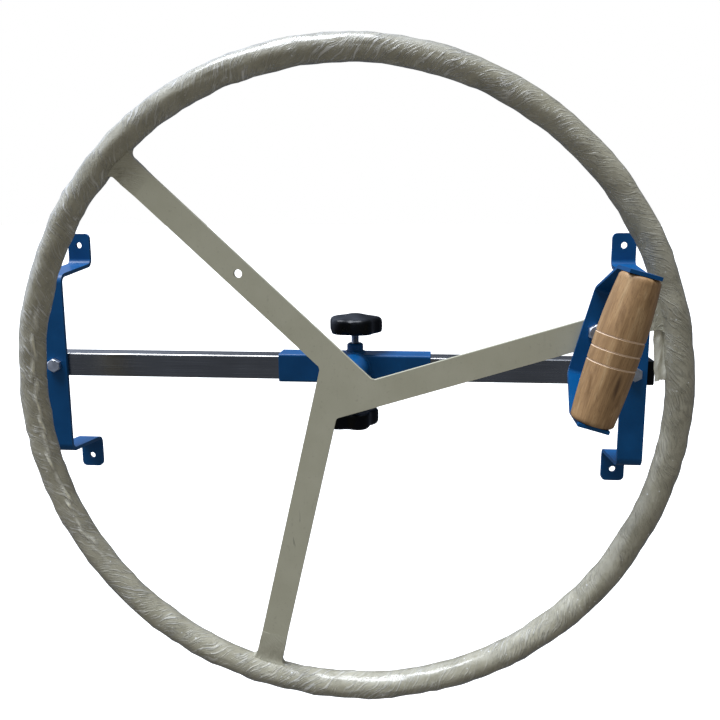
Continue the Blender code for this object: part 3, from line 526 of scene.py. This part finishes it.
def turnedHardwood():
    # turned rubberwood, oiled and handled: tan, with long grain, short dark pores and a dull sheen
    made, tree, shader, where = startMaterial("turned hardwood", IOR=1.5)
    # puts the grip's own length along Z and its middle at the origin
    centred = addNode(tree, "VectorMath", {0: where, 1: tuple(gripCentre)}, operation="SUBTRACT")
    upright = addNode(tree, "Mapping", {"Vector": centred.outputs[0], "Rotation": (0, -gripLean, 0)})
    # growth bands about 7 mm wide and 40 mm long that wander along the grip
    broad = addNode(tree, "Mapping", {"Vector": upright.outputs[0], "Scale": (140, 140, 26)})
    streak = addNode(tree, "TexNoise", {"Vector": broad.outputs[0], "Scale": 1.0, "Detail": 5.0,
                                        "Roughness": 0.55, "Distortion": 0.7})
    body = addNode(tree, "ValToRGB", {0: streak.outputs["Fac"]},
                   ramp=[(0.30, "#86663f"), (0.44, "#a3815a"), (0.56, "#b38f65"), (0.70, "#c6a67c")])
    # long fibres, about 0.8 mm wide and 40 mm long
    fibres = addNode(tree, "Mapping", {"Vector": upright.outputs[0], "Scale": (1150, 1150, 26)})
    fibre = addNode(tree, "TexNoise", {"Vector": fibres.outputs[0], "Scale": 1.0,
                                       "Detail": 4.0, "Roughness": 0.6})
    fibreMask = addNode(tree, "MapRange", {0: fibre.outputs["Fac"], 1: 0.46, 2: 0.72, 3: 0.0, 4: 0.6})
    grained = addNode(tree, "Mix", {0: fibreMask.outputs[0], 6: body.outputs[0],
                                    7: linear("#7c5c39")}, data_type="RGBA")
    # open pores, 0.7 mm wide and 7 mm long
    pores = addNode(tree, "Mapping", {"Vector": upright.outputs[0], "Scale": (1500, 1500, 140)})
    pore = addNode(tree, "TexVoronoi", {"Vector": pores.outputs[0], "Scale": 1.0})
    poreMask = addNode(tree, "MapRange", {0: pore.outputs["Distance"], 1: 0.10, 2: 0.24,
                                          3: 0.55, 4: 0.0})
    pored = addNode(tree, "Mix", {0: poreMask.outputs[0], 6: grained.outputs[2],
                                  7: linear("#64482c")}, data_type="RGBA")
    # one dark mineral streak, 3 mm wide and 18 mm long, below the grooves: the mask is a distance
    # from 0.275, which is what the middle grey of the noise comes to when it is mixed in
    stain = addNode(tree, "Mapping", {"Vector": upright.outputs[0], "Location": (-1.5, 0.0, 1.25),
                                      "Scale": (300, 0, 50)})
    ragged = addNode(tree, "Mix", {0: 0.55, 4: stain.outputs[0], 5: streak.outputs["Color"]},
                     data_type="VECTOR")
    off = addNode(tree, "VectorMath", {0: ragged.outputs[1], 1: (0.275, 0.275, 0.275)},
                  operation="DISTANCE")
    stainMask = addNode(tree, "MapRange", {0: off.outputs["Value"], 1: 0.10, 2: 0.34, 3: 0.8, 4: 0.0})
    stained = addNode(tree, "Mix", {0: stainMask.outputs[0], 6: pored.outputs[2],
                                    7: linear("#5e452b")}, data_type="RGBA")
    # freshly cut wood stays pale inside the turned grooves
    pale = addNode(tree, "Attribute", attribute_name="groove")
    colour = addNode(tree, "Mix", {0: pale.outputs["Fac"], 6: stained.outputs[2],
                                   7: linear("#fbe3cb")}, data_type="RGBA")
    gloss = addNode(tree, "MapRange", {0: fibre.outputs["Fac"], 1: 0.3, 2: 0.7, 3: 0.42, 4: 0.60})
    height = addNode(tree, "Math", {0: fibre.outputs["Fac"], 1: poreMask.outputs[0]},
                     operation="SUBTRACT")
    bump = addNode(tree, "Bump", {"Height": height.outputs[0], "Strength": 0.5, "Distance": 0.00025})
    wire(tree, shader, Base_Color=colour.outputs[2], Roughness=gloss.outputs[0], Normal=bump.outputs[0])
    return made


bluePaint, greyPaint, film = powderCoat(), airDryEnamel(), stretchFilm()
stainless, zinc, shaftSteel = brushedStainless(), zincPlate(), bearingSteel()
blackPlastic, nylon, wood = mouldedPhenolic(), turnedNylon(), turnedHardwood()
print("stage: finishes")


# wall frame

wallFrame = {"barEdge": 0.7, "tubeEdge": 0.35, "hardwareEdge": 0.25, "plugEdge": 0.4}


def makeWallFrame(s):
    for side in ("left", "right"):
        softCopy("bracket_" + side, bluePaint, "blue_paint", s["barEdge"])
        softCopy("rail_plug_" + side, blackPlastic, "black_plastic", s["plugEdge"])
        for part in ("rail_bolt_", "rail_nut_", "rail_washer_"):
            softCopy(part + side, zinc, "zinc_plate", s["hardwareEdge"], 2, 25)
    softCopy("rail_tube", stainless, "rail_stainless", s["tubeEdge"])


makeWallFrame(wallFrame)
print("stage: wall frame")


# carriage

carriage = {"sleeveEdge": 0.8, "tubeEdge": 0.3, "bearingEdge": 0.12, "sleeveTop": 15.3,
            "housingBead": (16.6, 1.7, 34), "bossBead": (8.9, 2.1, 16)}    # radius, thickness, steps


def weldBead(name, size, at, along):
    # a fillet of weld, laid in short overlapping steps and painted over
    radius, thick, laps = size
    clearPick()
    bpy.ops.mesh.primitive_torus_add(major_radius=radius * mm, minor_radius=thick * mm,
                                     major_segments=laps * 6, minor_segments=12)
    piece = bpy.context.object
    piece.name = name

    def lumps(p):
        turn = atan2(p.y, p.x)
        core = Vector((cos(turn), sin(turn), 0)) * radius * mm
        lap = (turn / (2 * pi) * laps) % 1
        grow = 0.88 + 0.22 * lap + 0.14 * noise.noise(p * 260)
        return core + (p - core) * grow

    reshape(piece, lumps)
    stand(piece, Vector(at) * mm, along)
    smooth(piece, 50)
    return piece


def makeCarriage(s):
    softCopy("slide_sleeve", bluePaint, "blue_paint", s["sleeveEdge"])
    for node in ("bearing_housing", "clamp_boss", "brake_boss"):
        softCopy(node, bluePaint, "blue_paint", s["tubeEdge"])
    for node in ("bearing_front", "bearing_rear", "housing_snap_ring"):
        softCopy(node, shaftSteel, "bearing_steel", s["bearingEdge"], 2)
    bead = weldBead("housing_weld", s["housingBead"], (0, housingBack, 0), (0, 1, 0))
    place(bead, "carriage", "blue_paint", bluePaint)
    bead = weldBead("clamp_boss_weld", s["bossBead"], (0, railY, s["sleeveTop"]), (0, 0, 1))
    place(bead, "carriage", "blue_paint", bluePaint)


makeCarriage(carriage)
print("stage: carriage")


# clamping screws

knob = {"lobes": 5, "scallop": 0.17, "sag": 1.4, "domeAt": 14, "round": 10.5, "reach": 18,
        "turnTop": -97, "turnLow": 20, "steps": 120, "padEdge": 0.2,
        # the half section in mm, from the bore under the knob round to the top of its dome
        "profile": ((4.3, 12), (4.3, 0.5), (4.8, 0), (7.6, 0), (8.3, 0.7), (9.0, 2.6), (19.6, 2.8),
                    (21.6, 0.9), (23.0, 0.3), (25.6, 0.2), (27.3, 0.8), (28.2, 2.2), (28.45, 4.2),
                    (28.5, 7.5), (28.45, 11.0), (28.1, 13.3), (27.1, 15.0), (25.2, 16.2), (21.8, 17.0),
                    (17.2, 17.7), (12.6, 18.4), (9.2, 19.2), (6.4, 19.8), (3.6, 20.1), (1.0, 20.2))}


def starKnob(name, at, along, turn, s):
    piece = turned(name, s["profile"], s["steps"])

    def lobed(p):
        reach = hypot(p.x, p.y)
        a = atan2(p.y, p.x)
        share = min(1.0, max(0.0, (reach / mm - s["round"]) / s["reach"])) ** 1.2
        dip = (0.5 - 0.5 * cos(s["lobes"] * (a - radians(turn)))) ** 1.35
        pull = 1 - s["scallop"] * share * dip
        # the dome falls a little into each scallop
        sag = s["sag"] * mm * share * dip if p.z > s["domeAt"] * mm else 0
        return Vector((p.x * pull, p.y * pull, p.z - sag))

    reshape(piece, lobed)
    stand(piece, at, along)
    smooth(piece, 42)
    return piece


thread = {"radius": 4.0, "pitch": 1.25, "depth": 0.30, "chamfer": 0.7, "sides": 32, "ringsPerTurn": 6}


def threadedRod(name, at, along, length, s):
    # M8 thread, cut as one running spiral
    radius, end = s["radius"], s["chamfer"]
    count = int(length / (s["pitch"] / s["ringsPerTurn"]))
    rings = [(radius - end, 0), (radius, end)]
    rings += [(radius, end + (length - 2 * end) * k / count) for k in range(1, count)]
    rings += [(radius, length - end), (radius - end, length)]
    piece = turned(name, rings, s["sides"])

    def cut(p):
        reach = hypot(p.x, p.y)
        if reach < (radius - s["depth"]) * mm:
            return p
        phase = (p.z / mm / s["pitch"] - atan2(p.y, p.x) / (2 * pi)) % 1
        deep = 1 - abs(2 * phase - 1)
        pull = 1 - s["depth"] / radius * deep
        return Vector((p.x * pull, p.y * pull, p.z))

    reshape(piece, cut)
    stand(piece, at, along)
    smooth(piece, 60)
    return piece


def makeScrews(s):
    # the clamping screw stands on top of the rail's sleeve, the braking one hangs under the housing
    low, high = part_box("clamp_stud")
    length = (high.z - low.z) / mm
    piece = threadedRod("clamp_stud_made", (0, railY * mm, low.z), (0, 0, 1), length, thread)
    place(piece, "clamp_screw", "bearing_steel", shaftSteel, "clamp_stud")
    low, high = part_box("brake_stud")
    length = (high.z - low.z) / mm
    piece = threadedRod("brake_stud_made", (0, brakeY * mm, high.z), (0, 0, -1), length, thread)
    place(piece, "brake_screw", "zinc_plate", zinc, "brake_stud")
    softCopy("brake_pad", nylon, "brake_nylon", s["padEdge"], 2)
    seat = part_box("clamp_knob")[0].z
    piece = starKnob("clamp_knob_made", (0, railY * mm, seat), (0, 0, 1), s["turnTop"], s)
    place(piece, "clamp_handknob", "black_plastic", blackPlastic, "clamp_knob")
    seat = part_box("brake_knob")[1].z
    piece = starKnob("brake_knob_made", (0, brakeY * mm, seat), (0, 0, -1), s["turnLow"], s)
    place(piece, "brake_handknob", "black_plastic", blackPlastic, "brake_knob")


makeScrews(knob)
print("stage: clamping screws")


# wheel

wheel = {"rimRadius": 300, "barWidth": 25, "barThick": 5, "spokeAngle": 17.1,
         "spokeEnd": 290.5, "barEdge": 0.45,
         "spareHole": (142, 4.0), "boltHole": (231, 4.2),    # place along the spoke, radius
         "weldFillet": 2.4, "cornerReach": 40, "hubEdge": 0.3, "axleEdge": 0.15,
         "hubBead": (17.4, 1.5, 36), "hubBeadBack": 2.6}
# the film as wound: angles in degrees, the rest in mm, with the height of each kind of unevenness
wrap = {"radius": 12.2, "alongSteps": 1200, "roundSteps": 60, "slant": 43, "start": 2.4,
        "lapSpacing": 62.8, "lapHeight": 0.55, "lapRise": 0.06, "slow": 0.85, "lump": 1.0,
        "ridge": 0.60, "fine": 0.28, "sink": 0.15}
# the film's edge has rolled up into a thin rope on the left, between two angles in degrees
rope = {"from": 163, "to": 219, "fade": 8, "around": 46, "half": 2.1, "height": 0.8}
# how tightly the film is gathered at each angle round the rim, in degrees; the same amount also sets how
# much painted highlight the white streaks carry there
gatheringAndHighlight = ((0, 0.10), (40, 0.20), (62, 0.55), (80, 0.95), (130, 0.90), (165, 1.0), (200, 0.85),
             (245, 0.75), (280, 0.85), (305, 0.60), (325, 0.20), (345, 0.10), (360, 0.10))


def spokeMatrix(turns):
    # X out along the spoke, Y across it, Z toward the front; the bar lies between Y = -25 and 0
    a = radians(wheel["spokeAngle"] + 120 * turns)
    outward, across, front = Vector((cos(a), 0, sin(a))), Vector((-sin(a), 0, cos(a))), Vector((0, -1, 0))
    turn = Matrix((outward, across, front)).transposed().to_4x4()
    return Matrix.Translation((0, wheelY * mm, 0)) @ turn


def bar(name, low, high, at):
    # a block between two corners in mm, placed by a matrix
    clearPick()
    bpy.ops.mesh.primitive_cube_add(size=1)
    piece = bpy.context.object
    piece.name = name
    size = [b - a for a, b in zip(low, high)]
    middle = Vector([(a + b) / 2 for a, b in zip(low, high)]) * mm
    reshape(piece, lambda p: at @ (middle + Vector([p[i] * size[i] * mm for i in range(3)])))
    faceOut(piece)
    return piece


def combine(piece, other, kind):
    useModifier(piece, "BOOLEAN", operation=kind, solver="EXACT", object=other)
    bpy.data.objects.remove(other, do_unlink=True)


def fillCorners(star, radius):
    # weld fills the three inner corners where the bars meet
    bpy.ops.mesh.select_mode(type="EDGE")
    bpy.ops.mesh.select_all(action="DESELECT")
    bpy.ops.object.mode_set(mode="OBJECT")
    for edge in star.data.edges:
        a, b = (star.data.vertices[i].co for i in edge.vertices)
        upright = hypot(a.x - b.x, a.z - b.z) < 0.01 * mm
        edge.select = upright and hypot(a.x, a.z) < wheel["cornerReach"] * mm
    bpy.ops.object.mode_set(mode="EDIT")
    bpy.ops.mesh.bevel(offset=radius * mm, segments=5, affect="EDGES")
    bpy.ops.object.mode_set(mode="OBJECT")


def makeSpokes(s):
    # three flat bars welded into one star, ground flush where they meet
    half, inner = s["barThick"] / 2, -s["barWidth"] / sqrt(3)
    corners = (inner, -s["barWidth"], -half), (s["spokeEnd"], 0, half)
    star = bar("wheel_spokes", *corners, spokeMatrix(0))
    for turns in (1, 2):
        combine(star, bar("arm", *corners, spokeMatrix(turns)), "UNION")
    for turns, (reach, radius) in ((1, s["spareHole"]), (0, s["boltHole"])):
        clearPick()
        bpy.ops.mesh.primitive_cylinder_add(vertices=48, radius=radius * mm, depth=30 * mm)
        drill = bpy.context.object
        stand(drill, spokeMatrix(turns) @ Vector((reach * mm, -s["barWidth"] / 2 * mm, 0)), (0, 1, 0))
        combine(star, drill, "DIFFERENCE")
    only(star)
    bpy.ops.object.mode_set(mode="EDIT")
    bpy.ops.mesh.select_all(action="SELECT")
    bpy.ops.mesh.remove_doubles(threshold=0.00002)
    bpy.ops.mesh.dissolve_limited(angle_limit=radians(0.5))
    bpy.ops.mesh.select_all(action="SELECT")
    bpy.ops.mesh.normals_make_consistent(inside=False)
    fillCorners(star, s["weldFillet"])
    roundEdges(star, s["barEdge"], 3)
    smooth(star)
    keepFlat(star)
    place(star, "wheel", "grey_paint", greyPaint, "spoke_handle", "spoke_upper", "spoke_lower")


def gatheringAndHighlightAt(angle):
    angle %= 360
    for (a, low), (b, high) in zip(gatheringAndHighlight, gatheringAndHighlight[1:]):
        if a <= angle <= b:
            return low + (high - low) * (angle - a) / (b - a)
    return gatheringAndHighlight[0][1]


def ridgeNoise(sharp, *at):
    # thin crests where the noise passes through nothing
    return max(0.0, 1 - sharp * abs(noise.noise(Vector(at)))) ** 2


def pleats(along, around, whole):
    # what the film does at a point of the unrolled rim, in mm; whole is the way round the tube
    def sheetAt(q):
        lean = radians(wrap["slant"])
        u, v = along * cos(lean) + q * sin(lean), -along * sin(lean) + q * cos(lean)
        weave = 1.6 * noise.noise(Vector((u / 30, v / 14, 2.0)))
        ridge = ridgeNoise(2.6, u / 30, v / 4.2 + weave, 7.0)
        fine = ridgeNoise(2.8, u / 16, v / 2.6 + weave, 13.0)
        patch = min(1.0, max(0.0, 0.55 + 1.5 * noise.noise(Vector((along / 42, q / 26, 5.0)))))
        slow = noise.noise(Vector((along / 40, q / 38, 9.0)))
        lap = ((along + q * 0.85) / wrap["lapSpacing"] + 0.1 * slow) % 1    # 0 at each turn's edge
        return ridge, fine, patch, slow, lap

    # the pattern blends into itself where the tube closes
    here = sheetAt(around)
    fade = max(0.0, (around / whole - 0.85) / 0.15)
    if fade > 0:
        there = sheetAt(around - whole)
        here = tuple(a + (b - a) * fade for a, b in zip(here, there))
    return here


def ropeAt(angle, along, around, s):
    # 1 on the rolled-up edge and 0 off it; it wanders, and breaks off here and there
    inside = (min(1.0, max(0.0, (angle - s["from"]) / s["fade"]))
              * min(1.0, max(0.0, (s["to"] - angle) / s["fade"])))
    line = (s["around"] + 4 * noise.noise(Vector((along / 18, 3.0, 0.0)))
            + 5 * noise.noise(Vector((along / 4.5, 8.0, 0.0))))
    broken = min(1.0, max(0.0, 0.75 + 2.2 * noise.noise(Vector((along / 4, 1.0, 5.0)))))
    return inside * broken * min(1.0, 1.8 * max(0.0, 1 - abs(around - line) / s["half"]))


def addValues(piece, name, values):
    piece.data.attributes.new(name, "FLOAT", "POINT").data.foreach_set("value", values)


def layWound(piece, unrolled, length, whole):
    # a map in mm of the film as wound; a face that crosses a seam keeps to one side of it
    wound = piece.data.uv_layers.new(name="wound")
    for face in piece.data.polygons:
        first = unrolled[face.vertices[0]]
        for loop in face.loop_indices:
            here = unrolled[piece.data.loops[loop].vertex_index]
            along = here[0] - length * round((here[0] - first[0]) / length)
            around = here[1] - whole * round((here[1] - first[1]) / whole)
            wound.data[loop].uv = (along, around)


def makeWrap(s):
    # the whole rim's film as one ring; returns it and the angle it starts from
    clearPick()
    rim = wheel["rimRadius"]
    bpy.ops.mesh.primitive_torus_add(major_radius=rim * mm, minor_radius=s["radius"] * mm,
                                     major_segments=s["alongSteps"], minor_segments=s["roundSteps"],
                                     rotation=(pi / 2, 0, 0), location=(0, wheelY * mm, 0))
    ring = bpy.context.object
    ring.name = "rim_wrap"
    bpy.ops.object.transform_apply(location=True, rotation=True, scale=True)
    first = wheel["spokeAngle"] - s["start"]     # under the handle spoke's wrapping
    whole = 2 * pi * s["radius"]
    whiteness, ropes, unrolled = [], [], []
    for corner in ring.data.vertices:
        turn = atan2(corner.co.z, corner.co.x)
        outward = Vector((cos(turn), 0, sin(turn)))
        core = outward * rim * mm + Vector((0, wheelY * mm, 0))
        off = corner.co - core
        along = radians((degrees(turn) - first) % 360) * rim
        around = ((atan2(-off.y, off.dot(outward)) + pi / 2) % (2 * pi)) * s["radius"]
        ridge, fine, patch, slow, lap = pleats(along, around, whole)
        tight = gatheringAndHighlightAt(degrees(turn))
        rolled = ropeAt(degrees(turn) % 360, along, around, rope)
        step = s["lapHeight"] * (1 - lap if lap > s["lapRise"] else lap / s["lapRise"])
        lump = noise.noise(Vector((along / 13, around / 11, 21.0)))
        height = (s["slow"] * slow + s["lump"] * lump + step
                  + tight * patch * (s["ridge"] * ridge + s["fine"] * fine) + rope["height"] * rolled)
        # the streaks' whiteness follows this amount round the rim and is strongest on each turn's edge; it
        # is partly milky film and partly painted highlight
        edgeLine = max(0.0, 1 - abs(lap - 0.05) / 0.05)
        whiteness.append(tight * (0.45 + 0.55 * patch + 0.35 * edgeLine))
        ropes.append(rolled)
        unrolled.append((along, around))
        corner.co = core + off.normalized() * (s["radius"] + height - s["sink"]) * mm
    addValues(ring, "pleat_white_and_highlight", whiteness)
    addValues(ring, "rope", ropes)
    layWound(ring, unrolled, 2 * pi * rim, whole)
    ring.data.update()
    return ring, first


def makeFilm(s):
    # the ring is cut into the three lengths between the spokes, and their ends closed
    ring, first = makeWrap(s)
    for number, node in enumerate(("rim_film_top", "rim_film_left", "rim_film_bottom")):
        start = first + 120 * number
        arc = bpy.data.objects.new(node + "_made", ring.data.copy())
        bpy.context.scene.collection.objects.link(arc)

        def outside(face):
            return (degrees(atan2(face.center.z, face.center.x)) - start) % 360 > 120

        pickFaces(arc, outside)
        bpy.ops.mesh.delete(type="FACE")
        bpy.ops.mesh.select_all(action="SELECT")
        bpy.ops.mesh.fill_holes(sides=0)
        bpy.ops.object.mode_set(mode="OBJECT")
        smooth(arc, 70)
        place(arc, "wheel", "stretch_film", film, node)
    bpy.data.objects.remove(ring, do_unlink=True)


web = {"from": 258, "to": 294, "skin": 0.45, "fillet": 6.5, "cuts": 34, "rimInside": 288.3,
       "taper": 16, "deepest": 1.3, "clear": 0.04, "mapStart": 900, "mapStep": 300}
farSeam = 4000    # longer than any sheet, so its map has no seam


def shapeWeb(x, y, z, turns, s):
    # pulls a point of the plain sleeve over the spoke's end; also its whiteness along the creases, partly
    # milky film and partly painted highlight, and its bareness
    half = wheel["barThick"] / 2
    gap = max(0.0, s["rimInside"] - hypot(x, y))
    spread = s["fillet"] - sqrt(s["fillet"] ** 2 - (s["fillet"] - gap) ** 2) if gap < s["fillet"] else 0.0
    depth = min(0.3 * spread, s["deepest"])
    tight = min(1.0, max(0.0, (x - s["from"]) / s["taper"]))    # from the film's end to its full thickness
    ripple = noise.noise(Vector((x / 5, y / 4, z / 4 + turns * 9)))
    crease = ridgeNoise(3, x / 9, y / 3.2, turns * 5 + z / 6)
    ragged = 1.4 * noise.noise(Vector((y / 4, z / 3, turns * 3 + 1))) if x < s["from"] + 1 else 0.0
    side = (y + wheel["barWidth"] / 2) / (wheel["barWidth"] / 2 + s["skin"])
    deep = z / (half + s["skin"])
    settle = s["clear"] - s["skin"]
    wide = y + side * (spread + tight * (0.25 * ripple + s["skin"]) + settle)
    thick = z + deep * (depth + tight * (0.16 * ripple + 0.08 * crease + s["skin"]) + settle)
    return Vector((x + ragged, wide, thick)) * mm, 0.12 * crease, 1 - 0.55 * tight


def makeWebs(s):
    # film pulled over the end of each spoke, with a curved bridge to the rim on both sides
    half, skin = wheel["barThick"] / 2, s["skin"]
    for turns, name in enumerate(("handle", "upper", "lower")):
        at = spokeMatrix(turns)
        piece = bar("film_web_" + name, (s["from"], -wheel["barWidth"] - skin, -half - skin),
                    (s["to"], skin, half + skin), Matrix.Identity(4))
        bpy.ops.object.mode_set(mode="EDIT")
        bpy.ops.mesh.select_all(action="SELECT")
        bpy.ops.mesh.subdivide(number_cuts=s["cuts"])
        bpy.ops.object.mode_set(mode="OBJECT")
        whiteness, bareness, unrolled = [], [], []
        for corner in piece.data.vertices:
            x, y, z = (c / mm for c in corner.co)
            moved, white, bare = shapeWeb(x, y, z, turns, s)
            corner.co = at @ moved
            whiteness.append(white)
            bareness.append(bare)
            unrolled.append((s["mapStart"] + s["mapStep"] * turns + x, y + 1.7 * z))
        addValues(piece, "pleat_white_and_highlight", whiteness)
        addValues(piece, "bare", bareness)
        layWound(piece, unrolled, farSeam, farSeam)
        piece.data.update()
        faceOut(piece)
        smooth(piece, 60)
        place(piece, "wheel", "stretch_film", film)


# the loose end gets an even whiteness, partly milky film and partly painted highlight
flap = {"corners": ((274, 62), (285, 66), (278, 11.5), (287, 14)), "cuts": 28, "thick": 0.15,
        "ahead": 1.0, "edgeWave": 0.7, "hemWave": 1.5, "finish": {"pleat_white_and_highlight": 0.5, "bare": 1.0, "rope": 0.55}}


def makeFlap(s):
    # a loose end of film hangs between the handle spoke and the rim; corners are (x, z) in mm
    clearPick()
    bpy.ops.mesh.primitive_grid_add(x_subdivisions=s["cuts"], y_subdivisions=s["cuts"], size=1)
    piece = bpy.context.object
    piece.name = "film_flap"
    leftTop, rightTop, leftLow, rightLow = (Vector(c) for c in s["corners"])

    def hung(p):
        across, down = p.x + 0.5, 0.5 - p.y
        x, z = leftTop.lerp(rightTop, across).lerp(leftLow.lerp(rightLow, across), down)
        x += s["edgeWave"] * (1 - across) * noise.noise(Vector((down * 6, 4.0, 0.0)))
        z += s["hemWave"] * down * noise.noise(Vector((across * 5, 9.0, 0.0)))
        sway = 0.8 * sin(across * 9 + 2 * down) + 1.2 * noise.noise(Vector((across * 3, down * 5, 2.0)))
        return Vector((x * mm, (wheelY - s["ahead"] + sway) * mm, z * mm))

    reshape(piece, hung)
    useModifier(piece, "SOLIDIFY", thickness=s["thick"] * mm)
    for name, value in s["finish"].items():
        addValues(piece, name, [value] * len(piece.data.vertices))
    unrolled = [(corner.co.x / mm, corner.co.z / mm) for corner in piece.data.vertices]
    layWound(piece, unrolled, farSeam, farSeam)
    faceOut(piece)
    smooth(piece, 60)
    place(piece, "wheel", "stretch_film", film)


def makeAxle(s):
    softCopy("rim_tube", greyPaint, "grey_paint", 0)
    softCopy("hub_disc", greyPaint, "grey_paint", s["hubEdge"])
    for node in ("axle_shaft", "axle_collar", "axle_spacer", "axle_snap_ring"):
        softCopy(node, shaftSteel, "bearing_steel", s["axleEdge"], 2)
    bead = weldBead("hub_weld", s["hubBead"], (0, wheelY + s["hubBeadBack"], 0), (0, 1, 0))
    place(bead, "wheel", "grey_paint", greyPaint)


makeSpokes(wheel)
makeFilm(wrap)
makeWebs(web)
makeFlap(flap)
makeAxle(wheel)
print("stage: wheel")


# handle

grip = {"half": 59.95, "middle": 19.2, "top": 15.8, "low": 17.2, "belly": 2.2, "bore": 4.3,
        "boreDeep": 14, "groove": 11.3, "grooveWide": 1.5, "grooveDeep": 0.8, "endRound": 2.2,
        "steps": 96, "rings": 52, "pale": 0.85}
handle = {"barEdge": 0.6, "hardwareEdge": 0.25}


def gripRadius(z, s):
    end = s["top"] if z > 0 else s["low"]
    radius = s["middle"] - (s["middle"] - end) * (abs(z) / s["half"]) ** s["belly"]
    for k in (-1, 0, 1):
        off = abs(z - k * s["groove"]) / (s["grooveWide"] / 2)
        if off < 1:
            radius -= s["grooveDeep"] * sqrt(1 - off * off)
    return radius


def gripHeights(s):
    # evenly spaced rings along the barrel, closer together through each groove
    straight = s["half"] - s["endRound"]
    heights = [-straight + 2 * straight * k / s["rings"] for k in range(s["rings"] + 1)]
    wide = s["grooveWide"] / 2
    for k in (-1, 0, 1):
        centre = k * s["groove"]
        heights = [z for z in heights if abs(z - centre) > wide + 0.3]
        heights += [centre + wide * w * sign for w in (0.3, 0.6, 0.85, 0.98, 1.1) for sign in (-1, 1)]
        heights.append(centre)
    return sorted(heights)


def makeGrip(s):
    half, low, top, bore = s["half"], s["low"], s["top"], s["bore"]
    rings = [(bore, -half + s["boreDeep"]), (bore, -half + 0.5), (bore + 0.6, -half),
             (low - 2.4, -half), (low - 1.2, -half + 0.35), (low - 0.35, -half + 1.2)]
    rings += [(gripRadius(z, s), z) for z in gripHeights(s)]
    rings += [(top - 0.35, half - 1.2), (top - 1.2, half - 0.35), (top - 2.4, half),
              (bore + 0.6, half), (bore, half - 0.5), (bore, half - s["boreDeep"])]
    piece = turned("grip_made", rings, s["steps"])
    paleness = []
    for corner in piece.data.vertices:
        x, y, z = (c / mm for c in corner.co)
        inside = any(abs(z - k * s["groove"]) < s["grooveWide"] * 0.46 for k in (-1, 0, 1))
        paleness.append(s["pale"] if inside and hypot(x, y) > 10 else 0.0)
    addValues(piece, "groove", paleness)

    def worn(p):
        # turned by hand, so never quite round
        reach = hypot(p.x, p.y)
        if reach < 10 * mm:
            return p
        push = 1 + 0.010 * noise.noise(Vector((p.x * 55, p.y * 55, p.z * 14)))
        return Vector((p.x * push, p.y * push, p.z))

    reshape(piece, worn)
    stand(piece, gripCentre, gripAxis)
    smooth(piece, 45)
    place(piece, "grip_barrel", "turned_wood", wood, "grip")


def makeHandle(s):
    softCopy("handle_bracket", bluePaint, "blue_paint", s["barEdge"])
    for node in ("handle_bolt", "handle_washer", "handle_nut", "grip_pin"):
        softCopy(node, zinc, "zinc_plate", s["hardwareEdge"], 2, 25)


makeHandle(handle)
makeGrip(grip)
print("stage: handle")
